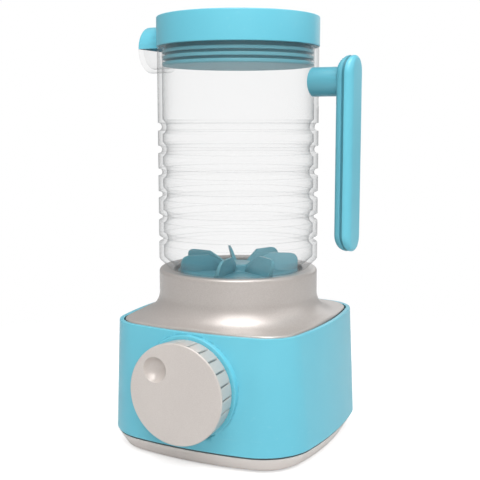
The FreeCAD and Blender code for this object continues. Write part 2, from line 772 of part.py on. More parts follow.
def crown_gear():
    """Crown gear: teeth on the face that looks at the spindle."""
    inner = crown_pitch_radius - crown_face / 2.0
    outer = crown_pitch_radius + crown_face / 2.0
    gear = disc(outer + crown_rim, crown_root_reach, crown_web_reach)
    gear = gear.fuse(disc(crown_hub_radius, crown_root_reach, crown_hub_reach))
    tip_half = (tooth_half_width - tooth_addendum * tooth_slope) * gear_module
    root_half = (tooth_half_width + tooth_dedendum * tooth_slope) * gear_module
    profile = [V(inner, -root_half, crown_root_reach + EPS), V(inner, root_half, crown_root_reach + EPS),
               V(inner, tip_half, crown_tip_reach), V(inner, -tip_half, crown_tip_reach),
               V(inner, -root_half, crown_root_reach + EPS)]
    teeth = []
    for index in range(crown_teeth):
        tooth = Part.Face(Part.makePolygon(profile)).extrude(V(outer - inner, 0, 0))
        tooth.rotate(V(0, 0, 0), UP, 90 + 360.0 / crown_teeth * (index + 0.5))
        teeth.append(tooth)
    gear = gear.fuse(teeth)
    bore = d_shaft(shaft_radius + seat_fit, shaft_flat, crown_root_reach - 1, crown_hub_reach + 1)
    return to_front(gear.cut(bore))


def knob_shaft_clip():
    """Clip that holds the crown gear on its shaft."""
    return to_front(clip_ring(shaft_radius, clip_reach()))


# ---------------------------------------------------------------------------------------------
# Spindle
# ---------------------------------------------------------------------------------------------
def spindle():
    """Upright steel shaft from the gear frame to the coupling."""
    top = dog_z + dog_height - dog_roof_gap
    shaft = disc(spindle_radius, shelf_under_z, lower_hub_z)
    shaft = shaft.fuse([d_shaft(spindle_radius, spindle_flat, lower_hub_z - EPS, upper_hub_z),
                        disc(spindle_radius, upper_hub_z - EPS, dog_flange_z),
                        d_shaft(spindle_radius, spindle_flat, dog_flange_z - EPS, top)])
    shaft = shaft.cut(clip_groove(spindle_radius, spindle_clip_z()))
    hole = rod_x(pin_radius + seat_fit, -spindle_radius - 1, spindle_radius + 1, 0, drive_pin_z())
    return shaft.cut(hole)


def spindle_clip_z():
    """Height of the clip over the frame's top."""
    return frame_top_z + seat_fit


def drive_pin_z():
    """Height of the pin through the dog."""
    return dog_z + (dog_height - dog_roof_gap) / 2.0


def spindle_clip():
    """Clip over the gear frame that carries the spindle."""
    return clip_ring(spindle_radius, spindle_clip_z())


def spindle_lower_bush():
    """Bush in the frame's shelf."""
    return flanged_bush(spindle_radius + running_fit, shelf_under_z, shelf_top_z, False)


def spindle_upper_bush():
    """Bush in the frame's top plate."""
    return flanged_bush(spindle_radius + running_fit, frame_top_under_z, frame_top_z, True)


def pinion_gear():
    """Small gear on the spindle, in mesh with the crown gear."""
    root = pinion_pitch_radius - tooth_dedendum * gear_module
    tip = pinion_pitch_radius + tooth_addendum * gear_module
    tip_half = (tooth_half_width - tooth_addendum * tooth_slope) * gear_module
    root_half = (tooth_half_width + tooth_dedendum * tooth_slope) * gear_module
    low = pinion_mid_z - pinion_face / 2.0
    gear = disc(root, low, low + pinion_face).fuse(disc(pinion_hub_radius, lower_hub_z, upper_hub_z))
    inside = root - weld
    profile = [V(inside, -root_half, low), V(root, -root_half, low), V(tip, -tip_half, low),
               V(tip, tip_half, low), V(root, root_half, low), V(inside, root_half, low),
               V(inside, -root_half, low)]
    teeth = []
    for index in range(pinion_teeth):
        tooth = Part.Face(Part.makePolygon(profile)).extrude(V(0, 0, pinion_face))
        tooth.rotate(V(0, 0, 0), UP, -90 + 360.0 / pinion_teeth * index)
        teeth.append(tooth)
    gear = gear.fuse(teeth)
    return gear.cut(d_shaft(spindle_radius + seat_fit, spindle_flat, lower_hub_z - 1, upper_hub_z + 1))


def spindle_seal():
    """Rubber ring in the well's floor."""
    inner = spindle_radius + running_fit
    return tube(inner + seal_wall, inner, well_under_z, well_floor_z - seat_fit)


def six_sides(radius, low, high):
    """Six-sided upright solid."""
    points = [V(radius * math.cos(math.radians(60 * k)), radius * math.sin(math.radians(60 * k)), low)
              for k in range(7)]
    return Part.Face(Part.makePolygon(points)).extrude(V(0, 0, high - low))


def drive_coupling():
    """Dog on top of the spindle."""
    dog = disc(dog_flange_radius, dog_flange_z, dog_z)
    dog = dog.fuse(six_sides(dog_radius, dog_z - EPS, dog_z + dog_height))
    dog = dog.cut(d_shaft(spindle_radius + seat_fit, spindle_flat, dog_flange_z - 1,
                          dog_z + dog_height - dog_roof_gap + seat_fit))
    half = dog_pin_half() + seat_fit
    return dog.cut(rod_x(pin_radius + seat_fit, -half, half, 0, drive_pin_z()))


def drive_coupling_pin():
    """Cross pin that holds the dog on the spindle."""
    half = dog_pin_half()
    return rod_x(pin_radius, -half, half, 0, drive_pin_z())


def dog_pin_half():
    """Half the length of the pin, which ends inside the dog's corners."""
    return dog_radius - 2.0 * pin_cover


# ---------------------------------------------------------------------------------------------
# Jar
# ---------------------------------------------------------------------------------------------
def outer_groove_points():
    """Outline of the grooves in the jar's outer face, in order upwards."""
    points = []
    for index in range(groove_count):
        z = first_groove_z + groove_pitch * index
        points += [(jar_radius, z - groove_radius), arc_end((jar_radius, z), groove_radius, 180, 90)]
    return points


def inner_groove_points():
    """Outline of the ridges behind the grooves, one wall further in, in order downwards."""
    ridge_radius = groove_radius + jar_wall
    half_angle = math.degrees(math.acos(jar_wall / ridge_radius))
    half_height = ridge_radius * math.sin(math.radians(half_angle))
    points = []
    for index in reversed(range(groove_count)):
        z = first_groove_z + groove_pitch * index
        points += [(jar_inner_radius, z + half_height),
                   arc_end((jar_radius, z), ridge_radius, 180, 180 + half_angle)]
    return points


def jar():
    """Clear jar: grooved wall, tapered foot, neck, floor, spout and the stub for the handle."""
    taper_radius = jar_radius - jar_taper_height
    inner_shift = jar_wall * math.tan(math.radians(22.5))
    inner_taper_z = jar_seat_z + jar_taper_height + inner_shift
    inner_taper_drop = jar_inner_radius - neck_inner_radius
    outline = [(neck_radius, neck_bottom_z), (neck_radius, jar_seat_z), (taper_radius, jar_seat_z),
               (jar_radius, jar_seat_z + jar_taper_height)]
    outline += outer_groove_points()
    outline += [(jar_radius, jar_rim_z), (jar_inner_radius, jar_rim_z)]
    outline += inner_groove_points()
    outline += [(jar_inner_radius, inner_taper_z), (neck_inner_radius, inner_taper_z - inner_taper_drop),
                (neck_inner_radius, jar_floor_top_z), (0, jar_floor_top_z), (0, jar_floor_under_z),
                (neck_inner_radius, jar_floor_under_z), (neck_inner_radius, neck_bottom_z)]
    body = spin(outline)
    spout = rod_x(spout_radius, -spout_reach, 0, 0, jar_rim_z)
    far = 2.0 * spout_reach
    spout = spout.common(block(-far, 0, -far, far, jar_rim_z - spout_radius - 1, jar_rim_z))
    spout = spout.cut(disc(jar_inner_radius + jar_wall / 2.0, 0, jar_rim_z + 1))
    body = body.fuse([spout, rod_x(stub_radius, jar_radius - jar_wall / 2.0, stub_reach, 0, handle_z)])
    passage = rod_x(spout_radius - spout_wall, -spout_reach + spout_wall, 0, 0, jar_rim_z)
    body = body.cut(passage)
    pilot_x = grip_inner_x - mount_screw_length - pilot_spare
    body = body.cut(rod_x(mount_screw[0] + seat_fit, pilot_x, stub_reach + 1, 0, handle_z))
    body = body.cut(disc(rotor_bush_radius() + seat_fit, jar_floor_under_z - 1, jar_floor_top_z + 1))
    keys = neck_keys(0.0, neck_bottom_z - key_length, neck_bottom_z + EPS)
    return body.fuse(keys)


def rotor_bush_radius():
    """Outer radius of the blade shaft's bush."""
    return spindle_radius + running_fit + bush_wall


def rotor_bush():
    """Bush in the jar's floor, flange underneath."""
    bush_top = jar_floor_top_z - seal_thickness
    return flanged_bush(spindle_radius + running_fit, jar_floor_under_z, bush_top, True)


def rotor_seal():
    """Rubber ring over the bush."""
    inner = spindle_radius + running_fit
    return tube(rotor_bush_radius(), inner, jar_floor_top_z - seal_thickness, jar_floor_top_z)


# ---------------------------------------------------------------------------------------------
# Blades
# ---------------------------------------------------------------------------------------------
def paddle():
    """One leaning paddle on +X: thinner at its top, rounded at its tip, sloping down to the hub."""
    top = disc_top_z + blade_height
    low = disc_top_z - EPS
    start = hub_radius - 2.0 * weld - hub_round
    tip = blade_tip_radius
    corner = V(tip - blade_corner, 0, top - blade_corner)
    lean = blade_corner * math.cos(math.radians(45))
    points = [V(start, 0, low), V(tip, 0, low), V(tip, 0, corner.z)]
    edges = [Part.LineSegment(a, b).toShape() for a, b in zip(points, points[1:])]
    crest = V(corner.x, 0, top)
    edges.append(Part.Arc(points[-1], V(corner.x + lean, 0, corner.z + lean), crest).toShape())
    slope_foot = V(hub_radius - hub_round, 0, hub_top_z - EPS)
    rest = [crest, V(blade_shoulder_radius, 0, top), slope_foot, V(start, 0, hub_top_z - EPS), points[0]]
    edges += [Part.LineSegment(a, b).toShape() for a, b in zip(rest, rest[1:])]
    side = Part.Face(Part.Wire(edges)).extrude(V(0, 2.0 * top, 0))
    side.translate(V(0, -top, 0))
    shift = blade_height * math.tan(math.radians(blade_lean))
    foot = blade_thickness / 2.0
    crown = blade_top_thickness / 2.0
    corners = [V(start, -foot, low), V(start, foot, low), V(start, shift + crown, top),
               V(start, shift - crown, top)]
    section = Part.Face(Part.makePolygon(corners + corners[:1]))
    return side.common(section.extrude(V(tip - start, 0, 0)))


def blade_rotor():
    """Disc with a hub and seven soft paddles."""
    round_centre = (hub_radius - hub_round, hub_top_z - hub_round)
    rotor = spin([(0, disc_bottom_z), (disc_radius, disc_bottom_z), (disc_radius, disc_top_z),
                  (hub_radius, disc_top_z), (hub_radius, hub_top_z - hub_round),
                  arc_end(round_centre, hub_round, 45, 90), (0, hub_top_z)])
    blades = []
    for index in range(blade_count):
        blade = paddle()
        blade.rotate(V(0, 0, 0), UP, blade_start_angle + 360.0 / blade_count * index)
        blades.append(blade)
    rotor = rotor.fuse(blades)
    bore_top = hub_top_z - rotor_shaft_top_drop + seat_fit
    return rotor.cut(d_shaft(spindle_radius + seat_fit, spindle_flat, disc_bottom_z - 1, bore_top))


def rotor_shaft():
    """Steel shaft through the jar's floor."""
    top = hub_top_z - rotor_shaft_top_drop
    shaft = disc(spindle_radius, coupling_top_z, disc_bottom_z)
    shaft = shaft.fuse([d_shaft(spindle_radius, spindle_flat, disc_bottom_z - EPS, top),
                        d_shaft(spindle_radius, spindle_flat, socket_roof_z, coupling_top_z + EPS)])
    return shaft.cut(rod_x(pin_radius + seat_fit, -spindle_radius - 1, spindle_radius + 1,
                           0, driven_pin_z()))


def driven_pin_z():
    """Height of the pin through the socket's web."""
    return (socket_roof_z + coupling_top_z) / 2.0


def driven_coupling():
    """Socket under the jar that drops over the dog."""
    cup = disc(socket_radius, socket_z, coupling_top_z)
    cup = cup.cut(six_sides(dog_radius + dog_clearance, socket_z - EPS, socket_roof_z))
    cup = cup.cut(d_shaft(spindle_radius + seat_fit, spindle_flat, socket_roof_z - 1, coupling_top_z + 1))
    half = socket_radius - 2.0 * pin_cover + seat_fit
    return cup.cut(rod_x(pin_radius + seat_fit, -half, half, 0, driven_pin_z()))


def driven_coupling_pin():
    """Cross pin that holds the socket on the blade shaft."""
    half = socket_radius - 2.0 * pin_cover
    return rod_x(pin_radius, -half, half, 0, driven_pin_z())


# ---------------------------------------------------------------------------------------------
# Lid
# ---------------------------------------------------------------------------------------------
def lid_cap():
    """Blue cap with the hood that closes the spout."""
    round_centre = (lid_radius - lid_edge_round, lid_top_z - lid_edge_round)
    inner = lid_radius - lid_wall
    cap = spin([(inner, jar_rim_z), (lid_radius, jar_rim_z), (lid_radius, round_centre[1]),
                arc_end(round_centre, lid_edge_round, 45, 90), (0, lid_top_z),
                (0, lid_top_z - lid_top_wall), (inner, lid_top_z - lid_top_wall)])
    far = 2.0 * spout_reach
    hood = rod_x(spout_radius, -spout_reach, 0, 0, jar_rim_z)
    hollow = rod_x(spout_radius - hood_wall, -spout_reach + hood_wall, 0, 0, jar_rim_z)
    hood = hood.cut(hollow).common(block(-far, 0, -far, far, jar_rim_z, jar_rim_z + spout_radius + 1))
    hood = hood.cut(disc(lid_radius - lid_wall / 2.0, 0, lid_top_z + 1))
    return cap.fuse(hood)


def lid_plug():
    """Ribbed plug that closes the jar's mouth."""
    rib_radius = jar_inner_radius - plug_fit
    body_radius = rib_radius - plug_rib_depth
    cap_radius = lid_radius - lid_wall - seat_fit
    low = jar_rim_z - plug_depth
    high = lid_top_z - lid_top_wall
    plug = tube(body_radius, body_radius - plug_wall, low, high)
    plug = plug.fuse(disc(body_radius, low, low + plug_floor))
    band_z = jar_rim_z + plug_band_drop
    plug = plug.fuse(tube(cap_radius, body_radius - EPS, band_z, band_z + plug_band))
    plug = plug.fuse(tube(cap_radius, body_radius - EPS, high - plug_band, high))
    for index in range(plug_rib_count):
        top = jar_rim_z - plug_rib_first_drop - plug_rib_pitch * index
        bottom = max(top - plug_rib_height, low)
        plug = plug.fuse(tube(rib_radius, body_radius - EPS, bottom, top))
    return plug


# ---------------------------------------------------------------------------------------------
# Handle
# ---------------------------------------------------------------------------------------------
def grip_plate(x_low, x_high, inset):
    """Long plate with round ends, flat across X."""
    half = grip_half_width - inset
    top = grip_top_z - grip_half_width
    bottom = grip_bottom_z + grip_half_width
    plate = block(x_low, x_high, -half, half, bottom, top)
    ends = [rod_x(half, x_low, x_high, 0, z) for z in (top, bottom)]
    return plate.fuse(ends).removeSplitter()


def rounded_plate(x_low, x_high, radius, at_high):
    """Grip plate with one rounded edge, on its high or its low X face."""
    plate = grip_plate(x_low, x_high, 0.0)
    face_x = x_high if at_high else x_low
    edges = [e for e in plate.Edges
             if abs(e.BoundBox.XMin - face_x) < EPS and abs(e.BoundBox.XMax - face_x) < EPS]
    return plate.makeFillet(radius, edges)


def thinned_ends():
    """Block along the inner half of the grip, with its ends curving away from the jar."""
    depth = grip_inner_thickness - grip_end_lip
    curve = (depth ** 2 + grip_end_run ** 2) / (2.0 * depth)
    half_turn = math.asin(grip_end_run / curve) / 2.0
    middle_x = grip_inner_x + curve * (1.0 - math.cos(half_turn))
    middle_drop = grip_end_run - curve * math.sin(half_turn)
    half = grip_half_width
    lip_x = grip_inner_x + depth
    upper = [V(grip_inner_x, -half, grip_top_z - grip_end_run), V(middle_x, -half, grip_top_z - middle_drop),
             V(lip_x, -half, grip_top_z)]
    lower = [V(lip_x, -half, grip_bottom_z), V(middle_x, -half, grip_bottom_z + middle_drop),
             V(grip_inner_x, -half, grip_bottom_z + grip_end_run)]
    edges = [Part.Arc(*upper).toShape(), Part.Arc(*lower).toShape()]
    outline = [upper[2], V(grip_seam_x, -half, grip_top_z), V(grip_seam_x, -half, grip_bottom_z), lower[0]]
    edges += [Part.LineSegment(a, b).toShape() for a, b in zip(outline, outline[1:])]
    edges.append(Part.LineSegment(lower[2], upper[0]).toShape())
    wire = Part.Wire(Part.__sortEdges__(edges))
    return Part.Face(wire).extrude(V(0, 2.0 * half, 0))


def handle_inner():
    """Inner half of the grip with the hollow peg that fits over the jar's stub."""
    plate = rounded_plate(grip_inner_x, grip_seam_x, grip_inner_round, False).common(thinned_ends())
    peg = rod_x(peg_radius, 0, grip_inner_x + grip_inner_thickness / 2.0, 0, handle_z)
    peg = peg.cut(disc(jar_radius + seat_fit, grip_bottom_z, grip_top_z))
    inner = plate.fuse(peg)
    inner = inner.cut(rod_x(stub_radius + seat_fit, 0, grip_inner_x - peg_end_wall, 0, handle_z))
    inner = inner.cut(rod_x(mount_screw[0] + screw_clearance, 0, grip_seam_x, 0, handle_z))
    inner = inner.cut(rod_x(mount_screw[1] + screw_clearance, grip_inner_x, grip_seam_x + 1, 0, handle_z))
    for z in (grip_screw_low_z, grip_screw_high_z):
        inner = inner.cut(rod_x(grip_screw[0] + screw_clearance, grip_inner_x - 1, grip_seam_x + 1, 0, z))
        inner = inner.cut(rod_x(grip_screw[1] + screw_clearance, grip_inner_x - 1,
                                grip_inner_x + grip_screw[2] + seat_fit, 0, z))
    return inner


def handle_cover():
    """Outer half of the grip, hollow inside, set off by a shadow line."""
    cover = rounded_plate(grip_cover_x, grip_outer_x, grip_outer_round, True)
    cover = cover.fuse(grip_plate(grip_seam_x, grip_cover_x + EPS, grip_seam_inset))
    face_x = grip_outer_x - grip_cover_wall
    hollow = grip_plate(grip_seam_x - EPS, face_x, grip_seam_inset + grip_cover_wall)
    for z in (grip_screw_low_z, grip_screw_high_z):
        hollow = hollow.cut(rod_x(grip_boss_radius, grip_seam_x - 1, grip_outer_x, 0, z))
    cover = cover.cut(hollow)
    for z in (grip_screw_low_z, grip_screw_high_z):
        cover = cover.cut(rod_x(grip_screw[0] + seat_fit, grip_seam_x - 1, face_x + weld, 0, z))
    return cover


def handle_screws():
    """Two screws that hold the grip's halves together."""
    screws = []
    for z in (grip_screw_low_z, grip_screw_high_z):
        piece = screw(grip_screw, grip_screw_length)
        piece.rotate(V(0, 0, 0), V(0, 1, 0), 90)
        piece.translate(V(grip_inner_x + grip_screw[2], 0, z))
        screws.append(piece)
    return screws


def handle_mount_screw():
    """Screw through the peg into the jar's stub."""
    piece = screw(mount_screw, mount_screw_length)
    piece.rotate(V(0, 0, 0), V(0, 1, 0), -90)
    piece.translate(V(grip_inner_x, 0, handle_z))
    return piece


# ---------------------------------------------------------------------------------------------
# Write one STEP file for each node
# ---------------------------------------------------------------------------------------------
NODES = {
    "base_housing": base_housing,
    "top_cover": top_cover,
    "bottom_tray": bottom_tray,
    "foot_pad": foot_pad,
    "case_screws": case_screws,
    "gear_frame": gear_frame,
    "frame_screws": frame_screws,
    "knob": knob,
    "knob_shaft": knob_shaft,
    "thrust_washer": thrust_washer,
    "knob_front_bush": knob_front_bush,
    "knob_rear_bush": knob_rear_bush,
    "crown_gear": crown_gear,
    "knob_shaft_clip": knob_shaft_clip,
    "spindle": spindle,
    "spindle_lower_bush": spindle_lower_bush,
    "spindle_upper_bush": spindle_upper_bush,
    "spindle_clip": spindle_clip,
    "pinion_gear": pinion_gear,
    "spindle_seal": spindle_seal,
    "drive_coupling": drive_coupling,
    "drive_coupling_pin": drive_coupling_pin,
    "jar": jar,
    "rotor_bush": rotor_bush,
    "rotor_seal": rotor_seal,
    "blade_rotor": blade_rotor,
    "rotor_shaft": rotor_shaft,
    "driven_coupling": driven_coupling,
    "driven_coupling_pin": driven_coupling_pin,
    "lid_cap": lid_cap,
    "lid_plug": lid_plug,
    "handle_inner": handle_inner,
    "handle_cover": handle_cover,
    "handle_screws": handle_screws,
    "handle_mount_screw": handle_mount_screw,
}


def main():
    """Build every node, report it and write it."""
    os.makedirs("parts", exist_ok=True)
    for name, make in NODES.items():
        made = make()
        solids = made if isinstance(made, list) else [made]
        shape = Part.makeCompound([s for piece in solids for s in piece.Solids])
        shape.exportStep("parts/" + name + ".step")
        box = shape.BoundBox
        print("%-20s solids %d valid %s volume %9.1f  x %.1f %.1f  y %.1f %.1f  z %.1f %.1f" % (
            name, len(shape.Solids), shape.isValid(), shape.Volume,
            box.XMin, box.XMax, box.YMin, box.YMax, box.ZMin, box.ZMax))


main()
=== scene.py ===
"""Looks of a hand-cranked toy blender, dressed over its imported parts."""
import json
import logging
import math
from dataclasses import dataclass, field
from enum import Enum
from typing import Callable, Iterable, Sequence

import bmesh
import bpy
import numpy as np
from bpy.types import ID, Material, Mesh, Node, NodeSocket, NodeTree, Object
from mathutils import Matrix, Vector


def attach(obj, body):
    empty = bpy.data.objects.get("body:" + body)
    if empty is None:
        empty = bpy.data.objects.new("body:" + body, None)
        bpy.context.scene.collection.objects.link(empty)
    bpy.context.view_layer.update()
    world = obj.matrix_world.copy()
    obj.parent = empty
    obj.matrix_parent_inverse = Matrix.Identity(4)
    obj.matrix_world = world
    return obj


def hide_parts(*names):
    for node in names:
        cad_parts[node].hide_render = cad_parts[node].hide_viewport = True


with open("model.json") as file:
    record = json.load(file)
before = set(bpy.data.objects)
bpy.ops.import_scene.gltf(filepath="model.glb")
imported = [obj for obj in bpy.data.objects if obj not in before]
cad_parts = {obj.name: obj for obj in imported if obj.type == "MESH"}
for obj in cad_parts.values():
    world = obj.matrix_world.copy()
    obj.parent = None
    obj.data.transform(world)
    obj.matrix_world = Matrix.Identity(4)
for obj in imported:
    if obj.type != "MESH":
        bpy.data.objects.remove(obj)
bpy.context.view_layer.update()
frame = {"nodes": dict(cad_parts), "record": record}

logging.basicConfig(level=logging.INFO, format="%(levelname)s %(message)s")
LOG = logging.getLogger("toy_blender")

MM = 0.001
TURN = 2.0 * math.pi
QUARTER = math.pi / 2.0
SHARP = 38.0
Point = tuple[float, float]
Triple = tuple[float, float, float]
Rings = list[np.ndarray]


class Body(Enum):
    """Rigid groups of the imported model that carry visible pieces."""

    BASE = "base"
    CRANK = "crank"
    JAR = "jar"
    ROTOR = "rotor"
    LID = "lid"


class Slot(Enum):
    """Material slots of the record."""

    BLUE = "blue_plastic"
    PEARL = "pearl_plastic"
    INNER_BLUE = "inner_blue_plastic"
    CLEAR = "clear_plastic"
    GEAR = "gear_plastic"
    STEEL = "steel"
    RUBBER = "rubber"


class Cut(Enum):
    """Ways in which one solid acts on another."""

    JOIN = "UNION"
    REMOVE = "DIFFERENCE"


# Outlines and rings, in millimetres


def arc(x: float, y: float, size: float | Point, first: float, last: float, count: int) -> list[Point]:
    """Points on the arc of a circle or an ellipse.

    Args:
        x: Centre's first coordinate.
        y: Centre's second coordinate.
        size: Radius, or both half axes.
        first: Angle at the first point.
        last: Angle at the last point.
        count: Number of points.

    Returns:
        The points in order.
    """
    wide, high = size if isinstance(size, tuple) else (size, size)
    return [(x + wide * math.cos(a), y + high * math.sin(a)) for a in np.linspace(first, last, count)]


def rounded(corners: Sequence[Triple], steps: int = 4) -> list[Point]:
    """Round the corners of a closed outline.

    Args:
        corners: Corners in order, each with its radius, 0 for a sharp one.
        steps: Segments in each rounded corner.

    Returns:
        The outline with curves in place of its corners.
    """
    most_room, straight = 0.49, 1.55
    made: list[Point] = []
    for index, (_, _, radius) in enumerate(corners):
        here, back, ahead = (np.array(corners[(index + k) % len(corners)][:2], float) for k in (0, -1, 1))
        back, ahead = back - here, ahead - here
        room = most_room * min(np.linalg.norm(back), np.linalg.norm(ahead))
        if radius > 0.0 and room > 1e-6:
            back, ahead = back / np.linalg.norm(back), ahead / np.linalg.norm(ahead)
            half = math.acos(max(-1.0, min(1.0, float(back @ ahead)))) / 2.0
            if half <= straight:
                reach = min(radius / math.tan(half), room)
                first, last = here + back * reach, here + ahead * reach
                made += [tuple((1 - s) ** 2 * first + 2 * s * (1 - s) * here + s ** 2 * last)
                         for s in np.linspace(0.0, 1.0, steps + 1)]
                continue
        made.append(tuple(here))
    return made


def level(angles: np.ndarray, radius: np.ndarray | float, height: np.ndarray | float,
          centre: Point = (0.0, 0.0)) -> np.ndarray:
    """Ring round a centre with one radius and height, or with one of each for every angle."""
    return np.column_stack(np.broadcast_arrays(centre[0] + radius * np.cos(angles),
                                               centre[1] + radius * np.sin(angles), height))


def circle(radius: float, height: float, sides: int, centre: Point = (0.0, 0.0)) -> np.ndarray:
    """Level ring of evenly spaced points round a centre."""
    return level(np.linspace(0.0, TURN, sides, endpoint=False), radius, height, centre)


def turned(outline: Sequence[Point], sides: int, centre: Point = (0.0, 0.0)) -> Rings:
    """Rings of an outline of (radius, height) points turned about an upright axis."""
    return [circle(radius, height, sides, centre) for radius, height in outline]


@dataclass(frozen=True)
class BowedSquare:
    """Square with bowed sides and rounded corners.

    Args:
        half: Half its width.
        corner: Radius of its corners.
        bow: Radius of its sides.
    """

    half: float
    corner: float
    bow: float

    def mixed(self, other: "BowedSquare", share: float) -> "BowedSquare":
        """Outline part of the way to another.

        Args:
            other: Outline that a share of 1 gives.
            share: Part of the way to it, from 0 to 1.

        Returns:
            The outline in between.
        """
        return BowedSquare(self.half + (other.half - self.half) * share,
                           self.corner + (other.corner - self.corner) * share,
                           self.bow + (other.bow - self.bow) * share)

    def ring(self, inset: float, height: float, side_steps: Sequence[int] = (14, 14, 14, 14),
             corner_steps: int = 14) -> np.ndarray:
        """Ring of points on the outline, moved inwards.

        Args:
            inset: Distance inwards.
            height: Height of the ring.
            side_steps: Segments on the +X, +Y, -X and -Y sides.
            corner_steps: Segments on each corner.

        Returns:
            The ring, anticlockwise seen from above.
        """
        half, corner, bow = self.half - inset, self.corner - inset, self.bow - inset
        middle = half - bow
        near = (middle + math.sqrt(2.0 * (bow - corner) ** 2 - middle ** 2)) / 2.0
        meet = math.atan2(near, near - middle)
        spots = []
        for side, steps in enumerate(side_steps):
            turn = QUARTER * side
            quarter = arc(middle, 0.0, bow, -meet, meet, steps + 1)[:-1]
            quarter += arc(near, near, corner, meet, QUARTER - meet, corner_steps + 1)[:-1]
            spots += [(x * math.cos(turn) - y * math.sin(turn),
                       x * math.sin(turn) + y * math.cos(turn), height) for x, y in quarter]
        return np.array(spots)


def stadium(half: float, low: float, high: float, inset: float, x: float) -> np.ndarray:
    """Upright ring with round ends in the plane of one X.

    Args:
        half: Half the width and the radius of its ends.
        low: Lowest point.
        high: Highest point.
        inset: Distance inwards.
        x: Place along X.

    Returns:
        The ring.
    """
    radius = half - inset
    ends = arc(0.0, high - half, radius, 0.0, math.pi, 21) + arc(0.0, low + half, radius, math.pi, TURN, 21)
    return np.array([(x, y, z) for y, z in ends])


# Meshes, given in millimetres


def added(name: str, data: ID) -> Object:
    """New object in the scene.

    Args:
        name: Name of the object.
        data: Mesh, lamp or camera that it shows.

    Returns:
        The object.
    """
    piece = bpy.data.objects.new(name, data)
    bpy.context.scene.collection.objects.link(piece)
    return piece


def shaded(mesh: Mesh, sharp: float = SHARP) -> Mesh:
    """Shade a mesh smoothly between edges over an angle in degrees.

    Args:
        mesh: Mesh to shade.
        sharp: Edges over this angle in degrees stay sharp.

    Returns:
        The same mesh.
    """
    mesh.polygons.foreach_set("use_smooth", [True] * len(mesh.polygons))
    mesh.set_sharp_from_angle(angle=math.radians(sharp))
    return mesh


def skinned(name: str, rings: Rings, wrap: bool = False, sharp: float = SHARP) -> Object:
    """Closed mesh over rings of equal length.

    Args:
        name: Name of the object.
        rings: Rings in order.
        wrap: Join the last ring to the first, instead of closing both with a cap.
        sharp: Edges over this angle in degrees stay sharp.

    Returns:
        The object, at the origin.
    """
    count = len(rings[0])
    faces: list[tuple[int, ...]] = []
    for row in range(len(rings) if wrap else len(rings) - 1):
        low, high = row * count, (row + 1) % len(rings) * count
        faces += [(low + k, low + (k + 1) % count, high + (k + 1) % count, high + k) for k in range(count)]
    if not wrap:
        last = (len(rings) - 1) * count
        faces += [tuple(range(count))[::-1], tuple(range(last, last + count))]
    mesh = bpy.data.meshes.new(name)
    mesh.from_pydata((np.vstack(rings) * MM).tolist(), [], faces)
    work = bmesh.new()
    work.from_mesh(mesh)
    bmesh.ops.remove_doubles(work, verts=work.verts, dist=2e-6)
    bmesh.ops.dissolve_degenerate(work, dist=1e-7, edges=work.edges)
    bmesh.ops.recalc_face_normals(work, faces=work.faces)
    bmesh.ops.triangulate(work, faces=[face for face in work.faces if len(face.verts) > 8])
    work.to_mesh(mesh)
    work.free()
    return added(name, shaded(mesh, sharp))


def merged(pieces: Iterable[Object]) -> Object:
    """One object from several closed ones, which are removed.

    Args:
        pieces: Closed objects to put together.

    Returns:
        The new object.
    """
    work = bmesh.new()
    for piece in pieces:
        work.from_mesh(piece.data)
        bpy.data.objects.remove(piece)
    mesh = bpy.data.meshes.new("merged")
    work.to_mesh(mesh)
    work.free()
    return added("merged", shaded(mesh))


def evaluated(piece: Object, sharp: float = SHARP) -> Object:
    """Make a piece's modifiers part of its mesh, and take them off.

    Args:
        piece: Object with modifiers.
        sharp: Edges over this angle in degrees stay sharp.

    Returns:
        The same object with a plain mesh.
    """
    mesh = bpy.data.meshes.new_from_object(piece.evaluated_get(bpy.context.evaluated_depsgraph_get()))
    piece.modifiers.clear()
    piece.data = shaded(mesh, sharp)
    return piece


def modified(piece: Object, kind: str, sharp: float = SHARP, **settings: object) -> Object:
    """Run one modifier on a piece and make the result its plain mesh.

    Args:
        piece: Piece that is changed.
        kind: Kind of modifier.
        sharp: Edges over this angle in degrees stay sharp.
        settings: Properties of the modifier.

    Returns:
        The piece.
    """
    modifier = piece.modifiers.new(kind.lower(), kind)
    for key, value in settings.items():
        setattr(modifier, key, value)
    return evaluated(piece, sharp)


def carved(piece: Object, how: Cut, *tools: Object, sharp: float = SHARP) -> Object:
    """Join other solids to a piece, or remove them, one by one, and delete them.

    Args:
        piece: Solid to change.
        how: Whether the other solids are joined or removed.
        tools: The other solids.
        sharp: Edges over this angle in degrees stay sharp.

    Returns:
        The changed piece.
    """
    for tool in tools:
        modified(piece, "BOOLEAN", sharp, object=tool, operation=how.value, solver="EXACT")
        bpy.data.objects.remove(tool)
    return piece


def weighted(piece: Object, sharp: float = SHARP) -> Object:
    """Shade a piece by the normals of its large faces, so that flats beside roundings stay flat."""
    return modified(piece, "WEIGHTED_NORMAL", sharp, mode="FACE_AREA", keep_sharp=True)


def painted_seam_shade(piece: Object, inside: Callable[[np.ndarray], np.ndarray], depth: float = 1.0) -> Object:
    """Mark the faces that lie deep in a seam, so that materials paint shade on them.

    Args:
        piece: Piece to mark.
        inside: Test on the columns X, Y and Z of the faces' middles that is true in the seam.
        depth: How dark the shade painted on them is, from 0 to 1.

    Returns:
        The piece.
    """
    middles = np.empty(len(piece.data.polygons) * 3)
    piece.data.polygons.foreach_get("center", middles)
    # The mark tells the materials where to paint the seam's shade.
    marks = piece.data.attributes.new("painted_seam_shade", "FLOAT", "FACE")
    marks.data.foreach_set("value", (depth * inside(*(middles.reshape(-1, 3) / MM).T)).astype(np.float32))
    return piece


